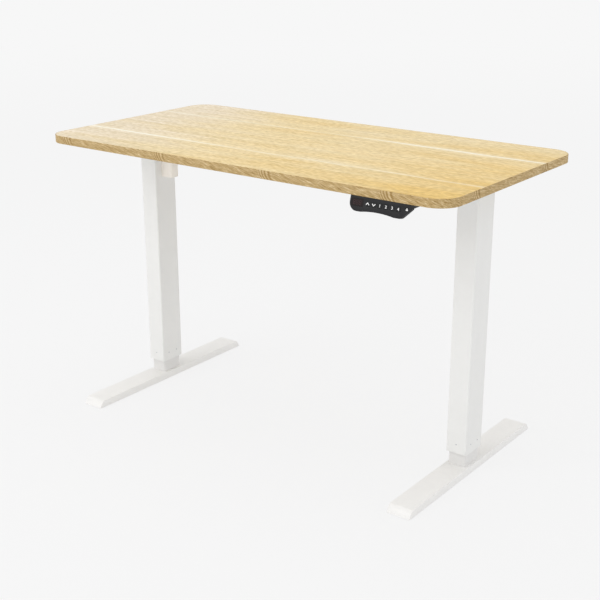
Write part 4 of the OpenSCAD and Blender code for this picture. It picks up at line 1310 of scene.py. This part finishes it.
@dataclass
class Fasteners(Assembly):
    """Screws with domed heads and their recesses, in the places of the CAD screws.

    The head's section is given in shares of its radius and height, and so is its recess.
    """

    points: int = 24
    smooth_angle: float = 40.0
    glide_head: float = 1.1 * MM
    glide_shank_share: float = 0.5
    board_head: float = 2.2 * MM
    board_shank: float = 2.0 * MM
    tip_share: float = 0.7
    tip_length: float = 0.4 * MM
    head_section: Sequence[tuple[float, float]] = (
        (1.0, 0.0), (1.0, 0.3), (0.93, 0.6), (0.8, 0.86), (0.64, 1.0))
    recess_floor: float = 0.35
    hex_reach: float = 0.48
    cross_reach: float = 0.62
    cross_half_width: float = 0.13

    def recess_radius(self, drive: Drive, radius: float, angle: float) -> float:
        """Gives the edge of the recess at an angle.

        Args:
            drive: The kind of recess.
            radius: The head's radius.
            angle: The angle round the head, in radians.

        Returns:
            The distance from the axis.
        """
        if drive is Drive.HEX:
            part = (angle % (math.pi / 3)) - math.pi / 6
            return self.hex_reach * radius * math.cos(math.pi / 6) / math.cos(part)
        part = abs((angle + math.pi / 4) % (math.pi / 2) - math.pi / 4)
        return min(self.cross_reach * radius, self.cross_half_width * radius / max(math.sin(part), 0.1))

    def screw(self, shape: Shape, base: Vector, out: Vector, radius: float, head: float,
              shank: float, length: float, drive: Drive) -> None:
        """Adds one screw.

        Args:
            shape: The mesh that gets it.
            base: The middle of the head's seat.
            out: The direction in which the head points.
            radius: The head's radius.
            head: The head's height.
            shank: The shank's radius.
            length: The shank's length below the seat.
            drive: The recess.
        """
        turn = out.to_track_quat("Z", "Y")
        angles = [2 * math.pi * i / self.points for i in range(self.points)]
        section = [(shank * self.tip_share, -length), (shank, self.tip_length - length), (shank, 0.0)]
        section += [(share * radius, rise * head) for share, rise in self.head_section]
        rings = [([r] * self.points, z) for r, z in section]
        recess = [self.recess_radius(drive, radius, a) for a in angles]
        rings += [(recess, head), (recess, self.recess_floor * head)]
        rows = skin(shape, [[base + turn @ Vector((r * math.cos(a), r * math.sin(a), z))
                             for r, a in zip(radii, angles)] for radii, z in rings])
        shape.faces.new(rows[0])
        shape.faces.new(rows[-1])

    def column_screws(self) -> None:
        """Builds the glide screws round the foot of each outer column."""
        shape = bmesh.new()
        column = abs(middle_of("left_outer_column").x)
        head = self.glide_head
        for low, high in islands("glide_screws"):
            middle, size = (low + high) / 2, high - low
            leg = Vector((math.copysign(column, middle.x), 0.0, middle.z))
            axis = max(range(2), key=lambda i: abs(size[i] - size.z))
            out = Vector((0.0, 0.0, 0.0))
            out[axis] = math.copysign(1.0, (middle - leg)[axis])
            tip = middle + out * size[axis] / 2
            self.screw(shape, tip - out * head, out, size.z / 2, head, self.glide_shank_share * size.z / 2,
                       size[axis] - head, Drive.HEX)
        self.close("column_screws", shape, "glide_screws")

    def board_screws(self) -> None:
        """Builds the wood screws that hold everything to the underside of the board."""
        shape = bmesh.new()
        head = self.board_head
        for low, high in islands("top_screws"):
            middle, size = (low + high) / 2, high - low
            self.screw(shape, Vector((middle.x, middle.y, low.z + head)), -UP, size.x / 2, head,
                       self.board_shank, size.z - head, Drive.CROSS)
        self.close("board_screws", shape, "top_screws")

    def close(self, name: str, shape: Shape, node: str) -> None:
        """Makes one piece of the mesh of a set of screws, in the place of their CAD node."""
        piece = finish_mesh(name, shape, self.smooth_angle)
        put(piece, body_of(node), Slot.STEEL, [self.palette[Slot.STEEL]], node)

    def build(self) -> None:
        """Builds all the screws."""
        self.column_screws()
        self.board_screws()


# ---------------------------------------------------------------- the handset


class Mark(Enum):
    """Marks on the keys, named as the keys are."""

    UP = "up"
    DOWN = "down"
    ONE = "one"
    TWO = "two"
    THREE = "three"
    FOUR = "four"
    LOCK = "lock"


@dataclass
class Handset(Assembly):
    """Key handset under the front edge, with its marks and its dark display.

    The chevron is given by its half width, its half height and the width of its stroke, and the
    body of the lock by its half width, its lower edge and its upper edge.
    """

    shell_edge: float = 0.4 * MM
    fascia_edge: float = 0.7 * MM
    edge_facets: int = 3
    key_edge: float = 0.25 * MM
    ink_height: float = 0.08 * MM
    chevron: Sequence[float] = (4.0 * MM, 2.1 * MM, 1.7 * MM)
    digit_size: float = 8.6 * MM
    digit_weight: float = 0.16 * MM
    lock_body: Sequence[float] = (2.5 * MM, -2.4 * MM, 0.2 * MM)
    shackle_radius: float = 1.45 * MM
    shackle_rise: float = 0.8 * MM
    shackle_thick: float = 0.95 * MM
    shackle_sunk: float = 0.1 * MM
    display_pitch: float = 7.4 * MM
    bar_tall: float = 4.6 * MM
    bar_wide: float = 4.4 * MM
    bar_thick: float = 0.7 * MM
    bar_gap: float = 0.2 * MM
    bar_height: float = 0.03 * MM
    face_slack: float = 0.02 * MM
    ink: Coating = field(default_factory=lambda: Coating(
        "mark_ink", shade(244, 244, 242), rough=0.5, grain_size=0.3 * MM, relief=0.05, tone_range=0.01))
    segment: Coating = field(default_factory=lambda: Coating(
        "display_segment", shade(58, 18, 20), rough=0.4, grain_size=0.3 * MM, relief=0.05))

    def face(self, node: str) -> Matrix:
        """Gives the place of a key's or window's front face.

        Args:
            node: The CAD node.

        Returns:
            A matrix with X to the right, Y up the face and Z out to the user.
        """
        joint = next(j for j in frame["record"]["behaviour"]["joints"] if j["name"] == "press_up")
        out = -Vector(joint["axis"])
        up = out.cross(RIGHT)
        points = [v.co for v in frame["nodes"][node].data.vertices]
        depth = max(p.dot(out) for p in points)
        front = [p for p in points if p.dot(out) > depth - self.face_slack]
        across = [p.x for p in front]
        rise = [p.dot(up) for p in front]
        middle = (RIGHT * (min(across) + max(across)) / 2 + up * (min(rise) + max(rise)) / 2
                  + out * depth)
        turn = Matrix((RIGHT, up, out)).transposed().to_4x4()
        return Matrix.Translation(middle) @ turn

    def digit(self, text: str) -> bpy.types.Mesh:
        """Makes the mesh of one digit, in the plane of the face.

        Args:
            text: The digit.

        Returns:
            The mesh.
        """
        curve = bpy.data.curves.new(f"digit_{text}", "FONT")
        curve.body = text
        curve.size = self.digit_size
        curve.offset = self.digit_weight
        curve.extrude = self.ink_height / 2
        curve.align_x = "CENTER"
        curve.align_y = "CENTER"
        maker = new_object(f"digit_{text}", curve)
        mesh = bpy.data.meshes.new_from_object(maker.evaluated_get(bpy.context.evaluated_depsgraph_get()))
        bpy.data.objects.remove(maker)
        return mesh

    def outlines(self, mark: Mark) -> list[Outline]:
        """Gives the outlines of a mark that isn't a digit.

        Args:
            mark: The mark.

        Returns:
            The outline of each part of it.
        """
        wide, high, thick = self.chevron
        if mark in (Mark.UP, Mark.DOWN):
            lift = high if mark is Mark.UP else -high
            return [stroke([(-wide, -lift), (0.0, lift), (wide, -lift)], thick)]
        wide, low, high = self.lock_body
        radius, foot = self.shackle_radius, high - self.shackle_sunk
        turn = [math.radians(a) for a in range(0, 181, 15)]
        arch = [(radius * math.cos(a), self.shackle_rise + radius * math.sin(a)) for a in turn]
        shackle = stroke([(radius, foot), *arch, (-radius, foot)], self.shackle_thick)
        return [shackle, [(-wide, low), (wide, low), (wide, high), (-wide, high)]]

    def mark(self, mark: Mark, ink: bpy.types.Material) -> None:
        """Builds the mark of one key, raised a hair from the key's face.

        Args:
            mark: The mark.
            ink: Its material.
        """
        node = f"key_{mark.value}"
        digits = {Mark.ONE: "1", Mark.TWO: "2", Mark.THREE: "3", Mark.FOUR: "4"}
        shape = bmesh.new()
        if mark in digits:
            mesh = self.digit(digits[mark])
            shape.from_mesh(mesh)
            bpy.data.meshes.remove(mesh)
            bmesh.ops.translate(shape, vec=UP * self.ink_height / 2, verts=shape.verts)
        else:
            for outline in self.outlines(mark):
                prism(shape, outline, 0.0, self.ink_height)
        bmesh.ops.transform(shape, matrix=self.face(node), verts=shape.verts)
        put(finish_mesh(f"mark_{mark.value}", shape), body_of(node), None, [ink])

    def bar(self, length: float) -> Outline:
        """Gives the outline of one bar of a digit, pointed at both ends."""
        half, reach = length / 2 - self.bar_gap, self.bar_thick / 2
        return [(-half, 0.0), (reach - half, -reach), (half - reach, -reach), (half, 0.0),
                (half - reach, reach), (reach - half, reach)]

    def segments(self) -> None:
        """Builds the unlit digits behind the window as faint bars."""
        shape = bmesh.new()
        tall, wide = self.bar_tall, self.bar_wide
        for place in (-self.display_pitch, 0.0, self.display_pitch):
            bars = [[(place + x, level + y) for x, y in self.bar(wide)] for level in (-tall, 0.0, tall)]
            bars += [[(y + place + side * wide / 2, x + level) for x, y in self.bar(tall)]
                     for side in (-1, 1) for level in (-tall / 2, tall / 2)]
            for bar in bars:
                prism(shape, bar, 0.0, self.bar_height)
        bmesh.ops.transform(shape, matrix=self.face("display_window"), verts=shape.verts)
        put(finish_mesh("display_segments", shape), "upper", None, [self.segment.material()])

    def build(self) -> None:
        """Builds the whole handset."""
        ink = self.ink.material()
        for node, width in (("handset_shell", self.shell_edge), ("handset_fascia", self.fascia_edge)):
            self.soften(node, "moulding", Slot.BLACK_PLASTIC, width, steps=self.edge_facets)
        for mark in Mark:
            self.soften(f"key_{mark.value}", "cap", Slot.KEY_PLASTIC, self.key_edge)
            self.mark(mark, ink)
        self.segments()


# ---------------------------------------------------------------- the studio


@dataclass(frozen=True)
class Lamp:
    """A square lamp that shines at the middle of the desk."""

    name: str
    place: tuple[float, float, float]
    size: float
    power: float
    aim_height: float = 0.4

    def hang(self) -> None:
        """Adds the lamp."""
        data = bpy.data.lights.new(self.name, "AREA")
        data.size = self.size
        data.energy = self.power
        lamp = new_object(self.name, data)
        lamp.location = self.place
        aim = Vector(self.place) - UP * self.aim_height
        lamp.rotation_mode = "QUATERNION"
        lamp.rotation_quaternion = aim.to_track_quat("Z", "Y")


@dataclass
class Studio:
    """Pale floor, soft lamps, even surroundings and the camera."""

    backdrop: float = 0.93
    dome: float = 0.822
    floor_colour: Colour = shade(243, 243, 244)
    floor_shadow: float = 0.16
    floor_reach: float = 60.0
    floor_sides: int = 96
    floor_drop: float = 0.3 * MM
    shadow_start: float = 2.0
    shadow_end: float = 9.0
    camera_place: Vector = field(default_factory=lambda: Vector((1.68004, -2.22674, 1.30521)))
    camera_azimuth: float = 37.085
    camera_elevation: float = 19.195
    camera_roll: float = -0.081
    camera_lens: float = 67.43
    camera_sensor: float = 36.0
    lamps: Sequence[Lamp] = (
        Lamp("key_lamp", (-1.6, -3.8, 3.4), 3.0, 44.0),
        Lamp("front_lamp", (0.6, -4.5, 1.6), 3.0, 10.0),
        Lamp("side_lamp", (7.5, 1.5, 3.0), 3.5, 22.0),
        Lamp("top_lamp", (0.0, 0.0, 4.2), 3.0, 14.0),
    )

    def camera(self) -> None:
        """Adds the camera."""
        data = bpy.data.cameras.new("camera")
        data.lens = self.camera_lens
        data.sensor_width = self.camera_sensor
        camera = new_object("camera", data)
        turn, rise = math.radians(self.camera_azimuth), math.radians(self.camera_elevation)
        back = Vector((math.sin(turn) * math.cos(rise), -math.cos(turn) * math.cos(rise), math.sin(rise)))
        aim = back.to_track_quat("Z", "Y").to_matrix().to_4x4()
        roll = Matrix.Rotation(math.radians(self.camera_roll), 4, "Z")
        camera.matrix_world = Matrix.Translation(self.camera_place) @ aim @ roll
        bpy.context.scene.camera = camera

    def seen(self, tree: Tree) -> Socket:
        """Marks the rays that show the surroundings.

        Args:
            tree: The tree that needs them.

        Returns:
            1 for rays from the camera, off gloss and through glass, and 0 for the others.
        """
        path = tree.add("LightPath").outputs
        return tree.calc("ADD", tree.total(path["Is Camera Ray"], path["Is Glossy Ray"]),
                         path["Is Transmission Ray"], clamp=True)

    def grey(self) -> Colour:
        """Gives the colour of the backdrop."""
        return (self.backdrop, self.backdrop, self.backdrop, 1.0)

    def surroundings(self) -> None:
        """Sets the even light from all round and the pale backdrop that the camera sees."""
        world = bpy.data.worlds.new("studio")
        bpy.context.scene.world = world
        tree = Tree.fresh(world)
        light = tree.add("Background", {"Color": WHITE, "Strength": self.dome})
        shown = tree.add("Background", {"Color": self.grey(), "Strength": 1.0})
        both = tree.blend(self.seen(tree), light, shown)
        tree.add("OutputWorld", {"Surface": both.outputs[0]})

    def floor(self) -> None:
        """Adds the floor, which melts into the backdrop and keeps a soft part of the shadow."""
        shape = bmesh.new()
        bmesh.ops.create_circle(shape, cap_ends=True, segments=self.floor_sides, radius=self.floor_reach)
        floor = finish_mesh("floor", shape)
        floor.location.z = -self.floor_drop
        material = bpy.data.materials.new("studio_floor")
        tree = Tree.fresh(material)
        far = tree.add("VectorMath", {0: tree.coordinates()}, operation="LENGTH").outputs["Value"]
        lit = tree.add("BsdfDiffuse", {"Color": self.floor_colour})
        glow = tree.add("Emission", {"Color": self.grey(), "Strength": 1.0})
        share = tree.remap(far, self.shadow_start, self.shadow_end, 1 - self.floor_shadow, 1.0, smooth=True)
        plain = tree.blend(share, lit, glow)
        both = tree.blend(self.seen(tree), lit, plain)
        below = tree.add("NewGeometry").outputs["Backfacing"]
        result = tree.blend(below, both, tree.add("BsdfTransparent"))
        tree.add("OutputMaterial", {"Surface": result.outputs[0]})
        floor.data.materials.append(material)

    def build(self) -> None:
        """Sets up the whole studio."""
        self.camera()
        self.surroundings()
        self.floor()
        for lamp in self.lamps:
            lamp.hang()
        bpy.context.scene.view_settings.view_transform = "Standard"


# ---------------------------------------------------------------- making


def dress_frame(palette: Palette) -> None:
    """Gives every CAD node the material of its slot.

    Args:
        palette: The materials by slot.
    """
    for part in frame["record"]["subparts"]:
        node = frame["nodes"][part["node"]]
        node.data.materials.clear()
        node.data.materials.append(palette[Slot(part["material_slot"])])


def main() -> None:
    """Builds the looks of the whole desk."""
    logging.basicConfig(level=logging.INFO, format="%(name)s: %(message)s")
    Studio().build()
    palette = make_palette()
    dress_frame(palette)
    for assembly in (Worktop, Underframe, Housings, Fasteners, Handset):
        assembly(palette).build()


if __name__ == "__main__":
    main()
